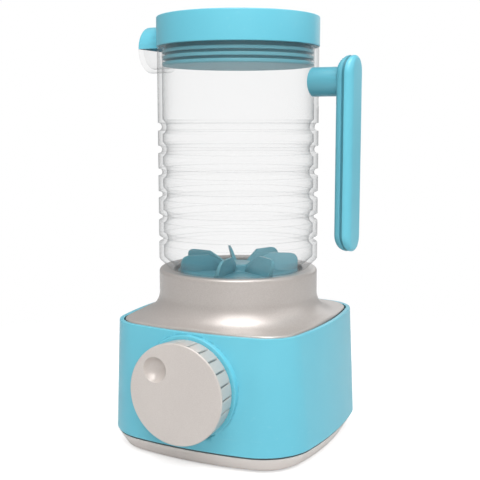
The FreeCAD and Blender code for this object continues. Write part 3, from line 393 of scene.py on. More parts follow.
def moved(piece: Object, change: Callable[[np.ndarray], np.ndarray]) -> Object:
    """Move a piece's points by a function of their table of coordinates.

    Args:
        piece: Piece whose points move.
        change: Gives the new table of coordinates from the old one.

    Returns:
        The piece.
    """
    spots = np.empty(len(piece.data.vertices) * 3)
    piece.data.vertices.foreach_get("co", spots)
    piece.data.vertices.foreach_set("co", (change(spots.reshape(-1, 3) / MM) * MM).ravel())
    piece.data.update()
    return piece


def to_front(piece: Object, height: float) -> Object:
    """Turn a piece's mesh so that its +Z becomes reach towards the front at a height."""
    return moved(piece, lambda m: np.column_stack([m[:, 0], -m[:, 2], m[:, 1] + height]))


def disc(radius: float, low: float, high: float, sides: int = 48, centre: Point = (0.0, 0.0)) -> Object:
    """Upright solid cylinder."""
    return skinned("disc", turned([(radius, low), (radius, high)], sides, centre))


def rod(radius: float, x_low: float, x_high: float, height: float, sides: int = 32) -> Object:
    """Cylinder along X."""
    return skinned("rod", [circle(radius, x, sides)[:, [2, 0, 1]] + (0.0, 0.0, height)
                           for x in (x_low, x_high)])


@dataclass(frozen=True)
class Spout:
    """Half-round trough at the jar's rim and its hood on the lid."""

    radius: float = 13.1
    wall: float = 2.2
    end: float = 57.4
    axis: float = 221.9
    overlap: float = 0.01

    def half(self, start: float, edge: float, upper: bool, hollow: bool = False) -> Object:
        """Half of a cylinder along X, cut level through its axis.

        Args:
            start: Reach of its inner end.
            edge: Radius of the rounding at its outer end.
            upper: Make the upper half, not the lower.
            hollow: Make the hollow, which lies a wall further in and overlaps the axis.

        Returns:
            The half cylinder.
        """
        inset, sign = (self.wall if hollow else 0.0), (1.0 if upper else -1.0)
        radius, height = self.radius - inset, self.axis - (sign * self.overlap if hollow else 0.0)
        stations = arc(inset - self.end + edge, radius - edge, edge, math.pi, QUARTER, 6) + [(-start, radius)]
        return skinned("spout_half", [
            np.array([(x, y, z) for y, z in arc(0.0, height, (size, sign * size), 0.0, math.pi, 41)])
            for x, size in stations])


def wedge(inner: float, outer: float, half_width: float, low: float, high: float, angle: float) -> Object:
    """Upright block between two radii, centred on an angle in degrees.

    Args:
        inner: Inner radius.
        outer: Outer radius.
        half_width: Half its width.
        low: Height of its underside.
        high: Height of its top.
        angle: Direction of its middle from the axis, in degrees.

    Returns:
        The block.
    """
    middle = math.radians(angle)
    spread = np.array([1.0, 0.5, 0.0, -0.5, -1.0])
    turns = [middle + way * spread * math.asin(half_width / radius)
             for radius, way in ((inner, 1), (outer, -1))]
    radii = np.repeat([inner, outer], len(spread))
    return skinned("wedge", [level(np.concatenate(turns), radii, height) for height in (low, high)])


def thrice(inner: float, outer: float, half_width: float, low: float, high: float) -> Object:
    """Three wedges, a third of a turn apart."""
    return merged([wedge(inner, outer, half_width, low, high, 60.0 + 120.0 * k) for k in range(3)])


# Shaders


@dataclass
class Graph:
    """Adds nodes to a node tree and joins them.

    Args:
        tree: Tree that the nodes go into.
    """

    tree: NodeTree

    def add(self, kind: str, inputs: dict | None = None, **settings: object) -> Node:
        """New node.

        Args:
            kind: Node type.
            inputs: Values or sockets by the input's name or number.
            settings: Node properties.

        Returns:
            The node.
        """
        node = self.tree.nodes.new(kind)
        for key, value in settings.items():
            setattr(node, key, value)
        for key, value in (inputs or {}).items():
            if isinstance(value, NodeSocket):
                self.tree.links.new(value, node.inputs[key])
            else:
                node.inputs[key].default_value = value
        return node

    def sum(self, how: str, *values: object) -> NodeSocket:
        """Result of a Math node."""
        return self.add("ShaderNodeMath", dict(enumerate(values)), operation=how).outputs[0]

    def times(self, first: object, second: object) -> NodeSocket:
        """Product of two values."""
        return self.sum("MULTIPLY", first, second)

    def mixed(self, share: object, first: object, second: object) -> NodeSocket:
        """Mix of two colours."""
        return self.add("ShaderNodeMix", {0: share, 6: first, 7: second}, data_type="RGBA").outputs[2]

    def spread(self, value: object, low: float, high: float, first: float = 0.0,
               last: float = 1.0) -> NodeSocket:
        """Value carried from one range to another and held within it."""
        return self.add("ShaderNodeMapRange", {0: value, 1: low, 2: high, 3: first, 4: last}).outputs[0]

    def spot(self) -> NodeSocket:
        """Place on the object."""
        return self.add("ShaderNodeTexCoord").outputs["Object"]

    def noise(self, spot: NodeSocket, scale: object, detail: float, distortion: float = 0.0) -> NodeSocket:
        """Smooth noise at a place."""
        return self.add("ShaderNodeTexNoise", {"Vector": spot, "Scale": scale, "Detail": detail,
                                               "Distortion": distortion}).outputs[0]

    def surface(self, height: NodeSocket, bump: Point, **values: object) -> NodeSocket:
        """Principled shader over a bump.

        Args:
            height: Height of the bump.
            bump: Its strength and distance.
            values: Inputs of the shader, with underscores for spaces.

        Returns:
            The shader's output.
        """
        normal = self.add("ShaderNodeBump", {"Strength": bump[0], "Distance": bump[1],
                                             "Height": height}).outputs[0]
        inputs = {key.replace("_", " "): value for key, value in values.items()}
        return self.add("ShaderNodeBsdfPrincipled", {**inputs, "Normal": normal}).outputs[0]


Outputs = dict[str, NodeSocket]


@dataclass(frozen=True)
class Effect:
    """Shader node group, made once.

    Args:
        name: Name of the group.
        inputs: Input names with their defaults, which are numbers or colours.
        outputs: Output names with their socket kinds.
        fill: Function that adds the nodes between the group's inputs and outputs.
    """

    name: str
    inputs: dict[str, object]
    outputs: dict[str, str]
    fill: Callable[[Graph, Outputs], Outputs]

    def group(self) -> NodeTree:
        """The group, built at its first use.

        Returns:
            The node group.
        """
        if self.name in bpy.data.node_groups:
            return bpy.data.node_groups[self.name]
        tree = bpy.data.node_groups.new(self.name, "ShaderNodeTree")
        for name, value in self.inputs.items():
            kind = RGBA if isinstance(value, tuple) else FLOAT
            tree.interface.new_socket(name, in_out="INPUT", socket_type=kind).default_value = value
        for name, kind in self.outputs.items():
            tree.interface.new_socket(name, in_out="OUTPUT", socket_type=kind)
        graph = Graph(tree)
        graph.add("NodeGroupOutput", self.fill(graph, graph.add("NodeGroupInput").outputs))
        return tree

    def place(self, graph: Graph, **values: object) -> Outputs:
        """Put the group into a material, with underscores for spaces in its input names."""
        inputs = {key.replace("_", " "): value for key, value in values.items()}
        return graph.add("ShaderNodeGroup", inputs, node_tree=self.group()).outputs


def fill_grain(graph: Graph, ends: Outputs) -> Outputs:
    """Moulded surface: fine grain, slow waviness and cloudy colour.

    Args:
        graph: Graph of the group.
        ends: The group's inputs by name.

    Returns:
        Colour, roughness and bump height.
    """
    spot = graph.spot()
    fine = graph.noise(spot, ends["Fine"], 3.0)
    slow = graph.noise(spot, ends["Slow"], 2.0)
    return {"Colour": graph.mixed(graph.spread(slow, 0.3, 0.7), ends["Colour"], ends["Shade"]),
            "Roughness": graph.sum("MULTIPLY_ADD", fine, ends["Rough Spread"], ends["Roughness"]),
            "Height": graph.sum("MULTIPLY_ADD", slow, ends["Waviness"], fine)}


def fill_scuffs(graph: Graph, ends: Outputs) -> Outputs:
    """Hairline scuffs that run in long thin streaks, in two directions.

    Args:
        graph: Graph of the group.
        ends: The group's inputs by name.

    Returns:
        Mask that is high on the scuffs.
    """
    spot = graph.spot()
    marks = []
    for turn, stretch in ((0.5, (1.0, 0.03, 1.0)), (2.2, (0.04, 1.0, 0.9))):
        laid = graph.add("ShaderNodeMapping", {"Vector": spot, "Rotation": (turn, turn * 0.4, turn),
                                               "Scale": stretch})
        marks.append(graph.spread(graph.noise(laid.outputs[0], ends["Scale"], 2.0), 0.66, 0.70))
    patch = graph.spread(graph.noise(spot, 22.0, 1.0), 0.45, 0.65)
    return {"Mask": graph.times(graph.times(graph.sum("MAXIMUM", *marks), patch), ends["Amount"])}


def fill_wear_and_painted_shade(graph: Graph, ends: Outputs) -> Outputs:
    """Worn edges and painted shade: masks that are high where the surface turns outwards, and where it turns
    inwards or lies in a seam.

    Args:
        graph: Graph of the group.
        ends: The group's inputs by name.

    Returns:
        Mask of the worn edges and mask of the shade painted in hollows and seams.
    """
    bent = graph.add("ShaderNodeNewGeometry").outputs["Pointiness"]
    marked = graph.add("ShaderNodeAttribute", attribute_name="painted_seam_shade").outputs["Fac"]
    broken = graph.spread(graph.noise(graph.spot(), 260.0, 4.0), 0.35, 0.65, 0.3)
    raised = graph.times(graph.spread(bent, 0.515, 0.60), broken)
    # Painted shade: darker where the surface turns inwards, and on the seam faces.
    hollow = graph.times(graph.spread(bent, 0.485, 0.42), ends["Depth"])
    return {"Mask": graph.times(raised, ends["Amount"]),
            "Hollow": graph.sum("MAXIMUM", hollow, graph.times(marked, 0.9))}


def fill_flakes(graph: Graph, ends: Outputs) -> Outputs:
    """Mica flakes: small cells that differ in brightness and tilt.

    Args:
        graph: Graph of the group.
        ends: The group's inputs by name.

    Returns:
        Colour of the flakes and their bump height.
    """
    spot = graph.spot()
    cells = graph.add("ShaderNodeTexVoronoi", {"Vector": spot, "Scale": ends["Scale"]})
    bright = graph.add("ShaderNodeSeparateColor", {0: cells.outputs["Color"]}).outputs[0]
    swirl = graph.spread(graph.noise(spot, 14.0, 3.0, 1.4), 0.35, 0.65)
    base = graph.mixed(swirl, ends["Colour"], ends["Swirl"])
    return {"Colour": graph.mixed(graph.times(bright, ends["Amount"]), base, ends["Flake"]), "Height": bright}


def solid(colour: Triple) -> tuple[float, float, float, float]:
    """Colour with full alpha."""
    return (*colour, 1.0)


def grey(tone: float) -> tuple[float, float, float, float]:
    """Grey with full alpha."""
    return (tone, tone, tone, 1.0)


FLOAT, RGBA = "NodeSocketFloat", "NodeSocketColor"
GRAIN = Effect("mould_grain", {"Colour": grey(0.8), "Shade": grey(0.7), "Fine": 1500.0, "Slow": 30.0,
                               "Roughness": 0.3, "Rough Spread": 0.1, "Waviness": 1.0},
               {"Colour": RGBA, "Roughness": FLOAT, "Height": FLOAT}, fill_grain)
SCUFFS = Effect("hairline_scuffs", {"Scale": 300.0, "Amount": 1.0}, {"Mask": FLOAT}, fill_scuffs)
# Worn edges, with shade painted into hollows and seams.
WEAR_AND_SHADE = Effect("worn_edges_and_painted_shade", {"Amount": 1.0, "Depth": 0.6}, {"Mask": FLOAT, "Hollow": FLOAT}, fill_wear_and_painted_shade)
FLAKES = Effect("mica_flakes", {"Colour": grey(0.6), "Swirl": grey(0.5), "Flake": grey(0.9), "Scale": 4000.0,
                                "Amount": 0.3}, {"Colour": RGBA, "Height": FLOAT}, fill_flakes)


def material_of(name: str, draw: Callable[[Graph], NodeSocket]) -> Material:
    """New material whose surface is the shader that a function adds.

    Args:
        name: Name of the material.
        draw: Adds the nodes to a graph and gives the shader's output.

    Returns:
        The material.
    """
    material = bpy.data.materials.new(name)
    material.use_nodes = True
    material.node_tree.nodes.clear()
    graph = Graph(material.node_tree)
    graph.add("ShaderNodeOutputMaterial", {0: draw(graph)})
    return material


@dataclass(frozen=True)
class Opaque:
    """Moulded plastic, pearl plastic, plated steel or rubber.

    Args:
        name: Name of the material.
        colour: Main colour.
        shade: Colour of cloudy patches or flow lines.
        worn: Colour of rubbed edges, scuffs and flakes.
        hollow: Colour of the shade painted deep in creases and seams.
        roughness: Roughness of the skin.
        coat: Weight and roughness of the clear skin over it.
        metallic: Metallic share.
        cells: Grain, clouds and scuffs for each metre.
        uneven: Spread of the roughness, and waviness.
        scuffs: Amount of scuffs, their share in the colour and what they add to the roughness.
        edges: Amount of worn edges and depth of the shade painted in hollows.
        bump: Strength and distance of the grain's bump.
        flakes: Whether mica flakes lie in it.
    """

    name: str
    colour: Triple
    shade: Triple
    worn: Triple
    # Colour of the painted shade in creases and seams.
    hollow: Triple = (0.03, 0.15, 0.19)
    roughness: float = 0.3
    coat: Point = (0.15, 0.22)
    metallic: float = 0.0
    cells: Triple = (1600.0, 26.0, 420.0)
    uneven: Point = (0.10, 1.2)
    scuffs: Triple = (0.5, 0.16, 0.18)
    edges: Point = (0.18, 0.75)
    bump: Point = (0.05, 0.0004)
    flakes: bool = False

    def draw(self, graph: Graph) -> NodeSocket:
        """Add the nodes and give the shader.

        Args:
            graph: Graph of the material.

        Returns:
            The shader's output.
        """
        colour, shade, worn = solid(self.colour), solid(self.shade), solid(self.worn)
        if self.flakes:
            mica = FLAKES.place(graph, Colour=colour, Swirl=shade, Flake=worn, Scale=3600.0, Amount=0.22)
            colour = shade = mica["Colour"]
        skin = GRAIN.place(graph, Colour=colour, Shade=shade, Fine=self.cells[0], Slow=self.cells[1],
                           Roughness=self.roughness, Rough_Spread=self.uneven[0], Waviness=self.uneven[1])
        scuff = SCUFFS.place(graph, Scale=self.cells[2], Amount=self.scuffs[0])["Mask"]
        edge = WEAR_AND_SHADE.place(graph, Amount=self.edges[0], Depth=self.edges[1])
        rubbed = graph.sum("MAXIMUM", graph.times(scuff, self.scuffs[1]), edge["Mask"])
        # Worn edges and scuffs, then shade painted into hollows and seams.
        paint = graph.mixed(edge["Hollow"], graph.mixed(rubbed, skin["Colour"], worn), solid(self.hollow))
        height = skin["Height"]
        if self.flakes:
            height = graph.sum("MULTIPLY_ADD", mica["Height"], 0.5, height)
        return graph.surface(
            height, self.bump, Base_Color=paint, Metallic=self.metallic, IOR=1.5, Coat_Weight=self.coat[0],
            Roughness=graph.sum("MULTIPLY_ADD", scuff, self.scuffs[2], skin["Roughness"]),
            Coat_Roughness=self.coat[1])


@dataclass(frozen=True)
class Clear:
    """Clear moulded plastic.

    Args:
        name: Name of the material.
        colour: Colour seen straight through.
        rim: Colour at grazing angles, where the wall is seen edge on, painted in as shade for the dark lines
            that a clear wall shows there.
        least: Share of light that the surface stops when seen square on.
        most: Share that it stops when seen edge on.
        falloff: How sharply the share rises towards the edge.
    """

    name: str
    colour: Triple
    rim: Triple
    least: float = 0.022
    most: float = 0.85
    falloff: float = 4.6

    def draw(self, graph: Graph) -> NodeSocket:
        """Add the nodes and give the shader.

        Args:
            graph: Graph of the material.

        Returns:
            The shader's output.
        """
        skin = GRAIN.place(graph, Colour=solid(self.colour), Shade=solid(self.colour), Fine=700.0, Slow=22.0,
                           Roughness=0.05, Rough_Spread=0.02, Waviness=3.0)
        scuff = SCUFFS.place(graph, Scale=500.0, Amount=0.6)["Mask"]
        facing = graph.add("ShaderNodeLayerWeight", {"Blend": 0.5}).outputs["Facing"]
        edge_on = graph.spread(graph.sum("POWER", facing, self.falloff), 0.0, 1.0, self.least, self.most)
        # Painted shade: the colour turns towards the dark rim colour as the wall is seen edge on.
        shader = graph.surface(
            skin["Height"], (0.03, 0.0003), Base_Color=graph.mixed(facing, skin["Colour"], solid(self.rim)),
            Roughness=graph.sum("MULTIPLY_ADD", scuff, 0.12, skin["Roughness"]), IOR=1.46)
        through = graph.add("ShaderNodeBsdfTransparent", {"Color": grey(0.985)}).outputs[0]
        stopped = graph.sum("MAXIMUM", edge_on, graph.times(scuff, 0.05))
        return graph.add("ShaderNodeMixShader", {0: stopped, 1: through, 2: shader}).outputs[0]


def pearl(name: str, colour: Triple, swirl: Triple, flake: Triple, hollow: Triple, metallic: float,
          roughness: float, coat: Point) -> Opaque:
    """Plastic filled with mica, which gives a pearl sheen."""
    # The hollow colour is the shade painted in creases and seams.
    return Opaque(name, colour, swirl, flake, hollow, roughness, coat, metallic, (1400.0, 24.0, 380.0),
                  (0.09, 0.8), (0.5, 0.2, 0.14), (0.10, 0.8), flakes=True)


BLUE = Opaque("satin_blue_plastic", (0.172, 0.640, 0.790), (0.158, 0.615, 0.770), (0.42, 0.78, 0.88))
# Painted shade: a darker copy of the satin blue, for the grip's inner half and the parts of its slot.
INNER_BLUE = Opaque("satin_blue_plastic_inner_painted_shade", (0.130, 0.470, 0.580), (0.120, 0.450, 0.560),
                    (0.32, 0.62, 0.72))
# Painted shade: a darker, greyer copy of the blue for the rotor, which sits in the well behind the jar's
# wall.
SHADED_ROTOR_BLUE = Opaque("blue_plastic_rotor_painted_shade", (0.125, 0.375, 0.450), (0.115, 0.350, 0.425), (0.25, 0.50, 0.58))
# Painted shade: a darker, greyer copy of the blue for the plug inside the jar's rim, with its own colour for
# the shade painted between the ribs.
SHADED_PLUG_BLUE = Opaque("blue_plastic_plug_painted_shade", (0.158, 0.480, 0.570), (0.148, 0.455, 0.540), (0.28, 0.52, 0.60),
                   (0.045, 0.205, 0.250))
# Its hollow colour is the dark teal shade painted into creases and seams.
PEARL = pearl("pearl_grey_plastic", (0.530, 0.480, 0.450), (0.500, 0.450, 0.420), (0.82, 0.78, 0.74),
              (0.015, 0.060, 0.075), 0.32, 0.36, (0.9, 0.25))
# Painted light: a lighter, less metallic copy of the pearl plastic for the knob, with painted shade in its
# creases.
LIT_KNOB_PEARL = pearl("pearl_plastic_knob_painted_light", (0.680, 0.620, 0.580), (0.655, 0.595, 0.558), (0.85, 0.81, 0.77),
                    (0.10, 0.095, 0.09), 0.14, 0.36, (0.40, 0.16))
# Painted light: a lighter copy of the pearl plastic for the tray, standing in for light bounced up from the
# floor, with painted shade in its seams.
LIT_TRAY_PEARL = pearl("pearl_plastic_tray_painted_light", (0.900, 0.830, 0.785), (0.880, 0.805, 0.760), (0.93, 0.89, 0.86),
                   (0.015, 0.060, 0.075), 0.14, 0.40, (0.25, 0.28))
# Its rim colour is the shade painted along the walls where they are seen edge on.
CLEAR = Clear("clear_jar_plastic", (0.985, 0.99, 0.99), (0.30, 0.31, 0.32))
# Its hollow colour is the shade painted into the gears' creases.
IVORY = Opaque("ivory_gear_plastic", (0.76, 0.74, 0.66), (0.70, 0.68, 0.60), (0.86, 0.85, 0.80),
               (0.30, 0.28, 0.24), 0.42, (0.0, 0.22), cells=(2200.0, 26.0, 420.0), bump=(0.08, 0.0004))
STEEL = Opaque("zinc_plated_steel", (0.60, 0.60, 0.58), (0.47, 0.47, 0.46), (0.60, 0.60, 0.58),
               roughness=0.24, coat=(0.0, 0.0), metallic=1.0, cells=(5200.0, 240.0, 1500.0),
               uneven=(0.2, 0.4), scuffs=(1.0, 0.0, 0.15), edges=(0.0, 0.0), bump=(0.15, 0.0001))
RUBBER = Opaque("black_rubber", (0.022, 0.022, 0.023), (0.07, 0.068, 0.065), (0.07, 0.068, 0.065),
                roughness=0.66, coat=(0.0, 0.0), cells=(2600.0, 90.0, 420.0), uneven=(0.2, 0.5),
                scuffs=(0.0, 0.0, 0.0), edges=(0.4, 0.0), bump=(0.3, 0.0002))


# Geometry node trees


@dataclass
class NodeBuild:
    """Geometry node tree with named inputs.

    Args:
        name: Name of the tree.
        kinds: Socket kinds of its inputs by name, with underscores for spaces.
    """

    name: str
    kinds: dict[str, str]
    graph: Graph = field(init=False)
    ends: Outputs = field(init=False)
    keys: dict[str, str] = field(init=False, default_factory=dict)

    def __post_init__(self) -> None:
        """Start the tree with its inputs and its output."""
        self.graph = Graph(bpy.data.node_groups.new(self.name, "GeometryNodeTree"))
        sockets = self.graph.tree.interface
        for way in ("INPUT", "OUTPUT"):
            sockets.new_socket("Geometry", in_out=way, socket_type="NodeSocketGeometry")
        for name, kind in self.kinds.items():
            self.keys[name] = sockets.new_socket(name.replace("_", " "), in_out="INPUT",
                                                 socket_type=kind).identifier
        self.ends = self.graph.add("NodeGroupInput").outputs

    def close(self, shape: NodeSocket, material: Material) -> "NodeBuild":
        """End the tree in Realize Instances and Set Material.

        Args:
            shape: Geometry that the tree gives.
            material: Material of the result.

        Returns:
            The finished tree.
        """
        real = self.graph.add("GeometryNodeRealizeInstances", {0: shape}).outputs[0]
        ready = self.graph.add("GeometryNodeSetMaterial", {"Geometry": real, "Material": material}).outputs[0]
        self.graph.add("NodeGroupOutput", {0: ready})
        return self

    def run(self, piece: Object, **values: object) -> Object:
        """Run the tree on a piece with values for its inputs, and make the result its plain mesh.

        Args:
            piece: Object whose mesh goes into the tree.
            values: Values of the inputs, with underscores for spaces.

        Returns:
            The same object with the result as its mesh.
        """
        modifier = piece.modifiers.new(self.name, "NODES")
        modifier.node_group = self.graph.tree
        for name, value in values.items():
            modifier[self.keys[name]] = value
        return evaluated(piece)


def ring_of_copies(material: Material) -> NodeBuild:
    """Tree that repeats its mesh in a ring about Z.

    Args:
        material: Material of the result.

    Returns:
        The finished tree.
    """
    build = NodeBuild("ring_of_copies", {"Count": "NodeSocketInt", "Start_Angle": FLOAT})
    graph, ends = build.graph, build.ends
    line = graph.add("GeometryNodeMeshLine", {"Count": ends["Count"], "Offset": (0.0, 0.0, 0.0)}).outputs[0]
    index = graph.add("GeometryNodeInputIndex").outputs[0]
    angle = graph.sum("MULTIPLY_ADD", index, graph.sum("DIVIDE", TURN, ends["Count"]), ends["Start Angle"])
    turn = graph.add("ShaderNodeCombineXYZ", {2: angle}).outputs[0]
    copies = graph.add("GeometryNodeInstanceOnPoints", {"Points": line, "Instance": ends["Geometry"],
                                                        "Rotation": turn})
    return build.close(copies.outputs[0], material)


def grooved_wall(material: Material) -> NodeBuild:
    """Tree that presses evenly spaced round grooves into an upright round wall of even thickness.

    Args:
        material: Material of the result.

    Returns:
        The finished tree.
    """
    build = NodeBuild("grooved_wall", {"First": FLOAT, "Pitch": FLOAT, "Count": "NodeSocketInt",
                                       "Groove_Radius": FLOAT, "Wall_Radius": FLOAT, "Least_Radius": FLOAT})
    graph, ends = build.graph, build.ends
    place = graph.add("GeometryNodeInputPosition").outputs[0]
    x, y, z = graph.add("ShaderNodeSeparateXYZ", {0: place}).outputs
    steps = graph.sum("DIVIDE", graph.sum("SUBTRACT", z, ends["First"]), ends["Pitch"])
    last = graph.sum("SUBTRACT", ends["Count"], 1.0)
    held = graph.sum("MINIMUM", graph.sum("MAXIMUM", graph.sum("ROUND", steps), 0.0), last)
    away = graph.times(graph.sum("SUBTRACT", steps, held), ends["Pitch"])
    flat = graph.add("ShaderNodeCombineXYZ", {0: x, 1: y}).outputs[0]
    radius = graph.add("ShaderNodeVectorMath", {0: flat}, operation="LENGTH").outputs["Value"]
    behind = graph.sum("MAXIMUM", graph.sum("SUBTRACT", ends["Wall Radius"], radius), 0.0)
    reach = graph.sum("POWER", graph.sum("ADD", ends["Groove Radius"], behind), 2.0)
    chord = graph.sum("SQRT", graph.sum(
        "MAXIMUM", graph.sum("SUBTRACT", reach, graph.times(away, away)), 0.0))
    depth = graph.sum("MAXIMUM", graph.sum("SUBTRACT", chord, behind), 0.0)
    amount = graph.times(depth, graph.sum("GREATER_THAN", radius, ends["Least Radius"]))
    outwards = graph.add("ShaderNodeVectorMath", {0: flat}, operation="NORMALIZE").outputs[0]
    shift = graph.add("ShaderNodeVectorMath", {0: outwards, "Scale": graph.times(amount, -1.0)},
                      operation="SCALE")
    ready = graph.add("GeometryNodeSetPosition", {"Geometry": ends["Geometry"], "Offset": shift.outputs[0]})
    return build.close(ready.outputs[0], material)


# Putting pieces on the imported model


def dressed(piece: Object, material: Material) -> Object:
    """Give a piece one material all over.

    Args:
        piece: Object to dress.
        material: Its material.

    Returns:
        The same object.
    """
    piece.data.materials.clear()
    piece.data.materials.append(material)
    piece.data.polygons.foreach_set("material_index", [0] * len(piece.data.polygons))
    return piece


def fitted(piece: Object, name: str, material: Material, body: Body, slot: Slot, node: str) -> None:
    """Finish a piece, name it and set it on its body in place of its node.

    Args:
        piece: Object to fit.
        name: Its name.
        material: Its finish.
        body: Body that carries it.
        slot: Material slot of the piece; not used.
        node: Node that it stands for.
    """
    dressed(piece, material).name = name
    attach(piece, body.value)
    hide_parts(node)
    LOG.info("%s stands for %s: %d faces", piece.name, node, len(piece.data.polygons))


def polar(ring: np.ndarray) -> tuple[np.ndarray, np.ndarray]:
    """Angles of a ring's points and their distances from Z."""
    return np.arctan2(ring[:, 1], ring[:, 0]), np.hypot(ring[:, 0], ring[:, 1])


@dataclass
class BaseCase:
    """Housing, top cover and bottom tray, in millimetres."""

    foot: BowedSquare = BowedSquare(61.0, 30.2, 236.0)
    head: BowedSquare = BowedSquare(57.9, 21.4, 211.0)
    tray_foot: BowedSquare = BowedSquare(55.6, 23.3, 180.0)
    pad: BowedSquare = BowedSquare(36.05, 10.05, 4000.0)
    low: float = 10.2
    high: float = 72.1
    wall: float = 2.4
    cover_gap: float = 0.8
    cover_foot: float = 70.2
    knob_height: float = 42.8
    boss_reach: float = 59.89
    boss_radius: float = 28.1
    boss_edge: float = 0.55
    boss_flare: float = 0.9
    boss_drop: float = 2.5
    spot_radius: float = 27.8
    sleeve: float = 8.0
    sleeve_length: float = 10.9
    bore: float = 5.11
    ledge: tuple[Point, ...] = ((1.2, 70.0), (4.2, 70.0), (4.2, 67.5), (1.2, 67.5))
    shoulder: float = 72.9
    edge_height: float = 71.6
    edge_width: float = 1.6
    sweep: float = 12.5
    collar: float = 45.0
    collar_inner: float = 42.6
    collar_top: float = 98.8
    collar_under: float = 95.8
    well: float = 36.8
    well_outer: float = 39.0
    well_hole: float = 5.6
    well_floor: float = 79.0
    well_under: float = 76.8
    post: float = 41.0
    post_radius: float = 4.2

    def outline(self, height: float) -> BowedSquare:
        """Outline of the housing at a height."""
        return self.foot.mixed(self.head, (height - self.low) / (self.high - self.low))

    def posts(self, radius: float, low: float, high: float, sides: int = 32) -> list[Object]:
        """Cylinders at the four screws."""
        return [disc(radius, low, high, sides, (x, y)) for x in (-self.post, self.post)
                for y in (-self.post, self.post)]

    def housing(self) -> Object:
        """Blue shell with the raised ring behind the knob.

        Returns:
            The housing.
        """
        profile = rounded([(0.0, self.low, 0.5), (0.0, self.high, 0.45), (self.wall, self.high, 0.4),
                           (self.wall, self.low, 0.3)])
        at = next(k for k, (inset, z) in enumerate(profile) if inset == 0.0 and z > self.low + 5.0)
        profile[at:at] = [(0.0, z) for z in np.linspace(self.low, self.high, 23)[1:-1]]
        shell = skinned("housing_shell", [self.outline(z).ring(inset, z, (22, 22, 22, 56), 22)
                                          for inset, z in profile], wrap=True)
        reach, edge, wide = self.boss_reach, self.boss_edge, self.boss_radius + self.boss_flare
        foot = reach - edge - self.boss_drop
        outline = [(0.0, foot - 1.0), (wide, foot - 1.0), (wide, foot)]
        outline += arc(wide, foot + self.boss_drop, (self.boss_flare, self.boss_drop), -QUARTER - 0.12,
                       -math.pi, 10)
        outline += arc(self.boss_radius - edge, reach - edge, edge, 0.2, QUARTER, 6) + [(0.0, reach)]
        boss, spot, sleeve, bore = (to_front(piece, self.knob_height) for piece in (
            skinned("boss", turned(outline, 128)), disc(self.spot_radius, reach, reach + 20.0, 128),
            disc(self.sleeve, reach - self.sleeve_length, reach - 2.0),
            disc(self.bore, reach - 20.0, reach + 2.0)))
        ledge = skinned("ledge", [self.head.ring(inset, z) for inset, z in self.ledge], wrap=True)
        carved(shell, Cut.JOIN, boss)
        carved(shell, Cut.REMOVE, spot)
        carved(shell, Cut.JOIN, sleeve, ledge)
        weighted(carved(shell, Cut.REMOVE, bore, sharp=24.0), 24.0)
        # Paint shade on the housing's inner wall in the gap round the cover.
        turns, middle = polar(self.head.ring(self.wall / 2, 0.0))
        return painted_seam_shade(shell, lambda x, y, z: (z > self.cover_foot) & (z < self.high - 0.3) & (
            np.hypot(x, y) < np.interp(np.arctan2(y, x), turns, middle, period=TURN)))

    def cover(self) -> Object:
        """Pearl cover: shoulder, concave sweep, collar and well.

        Returns:
            The cover.
        """
        angles, reach = polar(self.head.ring(self.wall + self.cover_gap, 0.0, (22, 22, 22, 22), 22))
        top, far = self.shoulder + self.sweep, self.collar + self.sweep

        def curved(limit: np.ndarray, size: float, shares: np.ndarray) -> Rings:
            """Rings on the concave sweep between a limit and the collar.

            Args:
                limit: Radius at the sweep's foot for each angle.
                size: Radius of the sweep's curve.
                shares: Places along the sweep, from 0 at its foot to 1 at the collar.

            Returns:
                The rings in that order.
            """
            first = np.arcsin(np.clip((far - limit) / size, 0.0, 1.0))
            turns = [first + (QUARTER - first) * share for share in shares]
            return [level(angles, far - size * np.sin(turn), top - size * np.cos(turn)) for turn in turns]

        width, low = self.edge_width, self.edge_height
        outer = np.minimum(far, reach - width)
        rim = top - np.sqrt(self.sweep ** 2 - (far - outer) ** 2)
        rings = [level(angles, reach, self.cover_foot), level(angles, reach, low)]
        rings += [level(angles, reach - width + width * math.cos(a), low + (rim - low) * math.sin(a))
                  for a in np.linspace(0.2, 1.4, 6)]
        rings += [level(angles, reach - width, rim), *curved(outer, self.sweep, np.linspace(0.0, 1.0, 17))]
        inside = rounded([
            (self.collar, top + 0.5, 0.0), (self.collar, self.collar_top, 2.2),
            (self.well, self.collar_top - 0.7, 0.8), (self.well, self.well_floor, 0.5),
            (self.well_hole, self.well_floor, 0.2), (self.well_hole, self.well_under, 0.0),
            (self.well_outer, self.well_under, 0.5), (self.well_outer, self.collar_under, 0.5),
            (self.collar_inner, self.collar_under, 0.5), (self.collar_inner, top, 0.0)], 8)
        rings += [level(angles, radius, height) for radius, height in inside]
        rings += curved(np.minimum(far, reach - self.wall), self.sweep + self.wall, np.linspace(0.9, 0.0, 10))
        rings += [level(angles, reach - self.wall, z) for z in (self.shoulder - self.wall, self.cover_foot)]
        cover = skinned("cover", rings, wrap=True)
        carved(cover, Cut.REMOVE, thrice(34.5, self.well, 4.4, 76.0, 80.0))
        weighted(carved(cover, Cut.JOIN, merged(self.posts(self.post_radius, 14.0, 72.1))))
        # Paint shade on the cover's side below its edge, in the gap to the housing.
        return painted_seam_shade(cover, lambda x, y, z: (z < low) & (z > 70.0) & (np.maximum(abs(x), abs(y)) > 50.0))

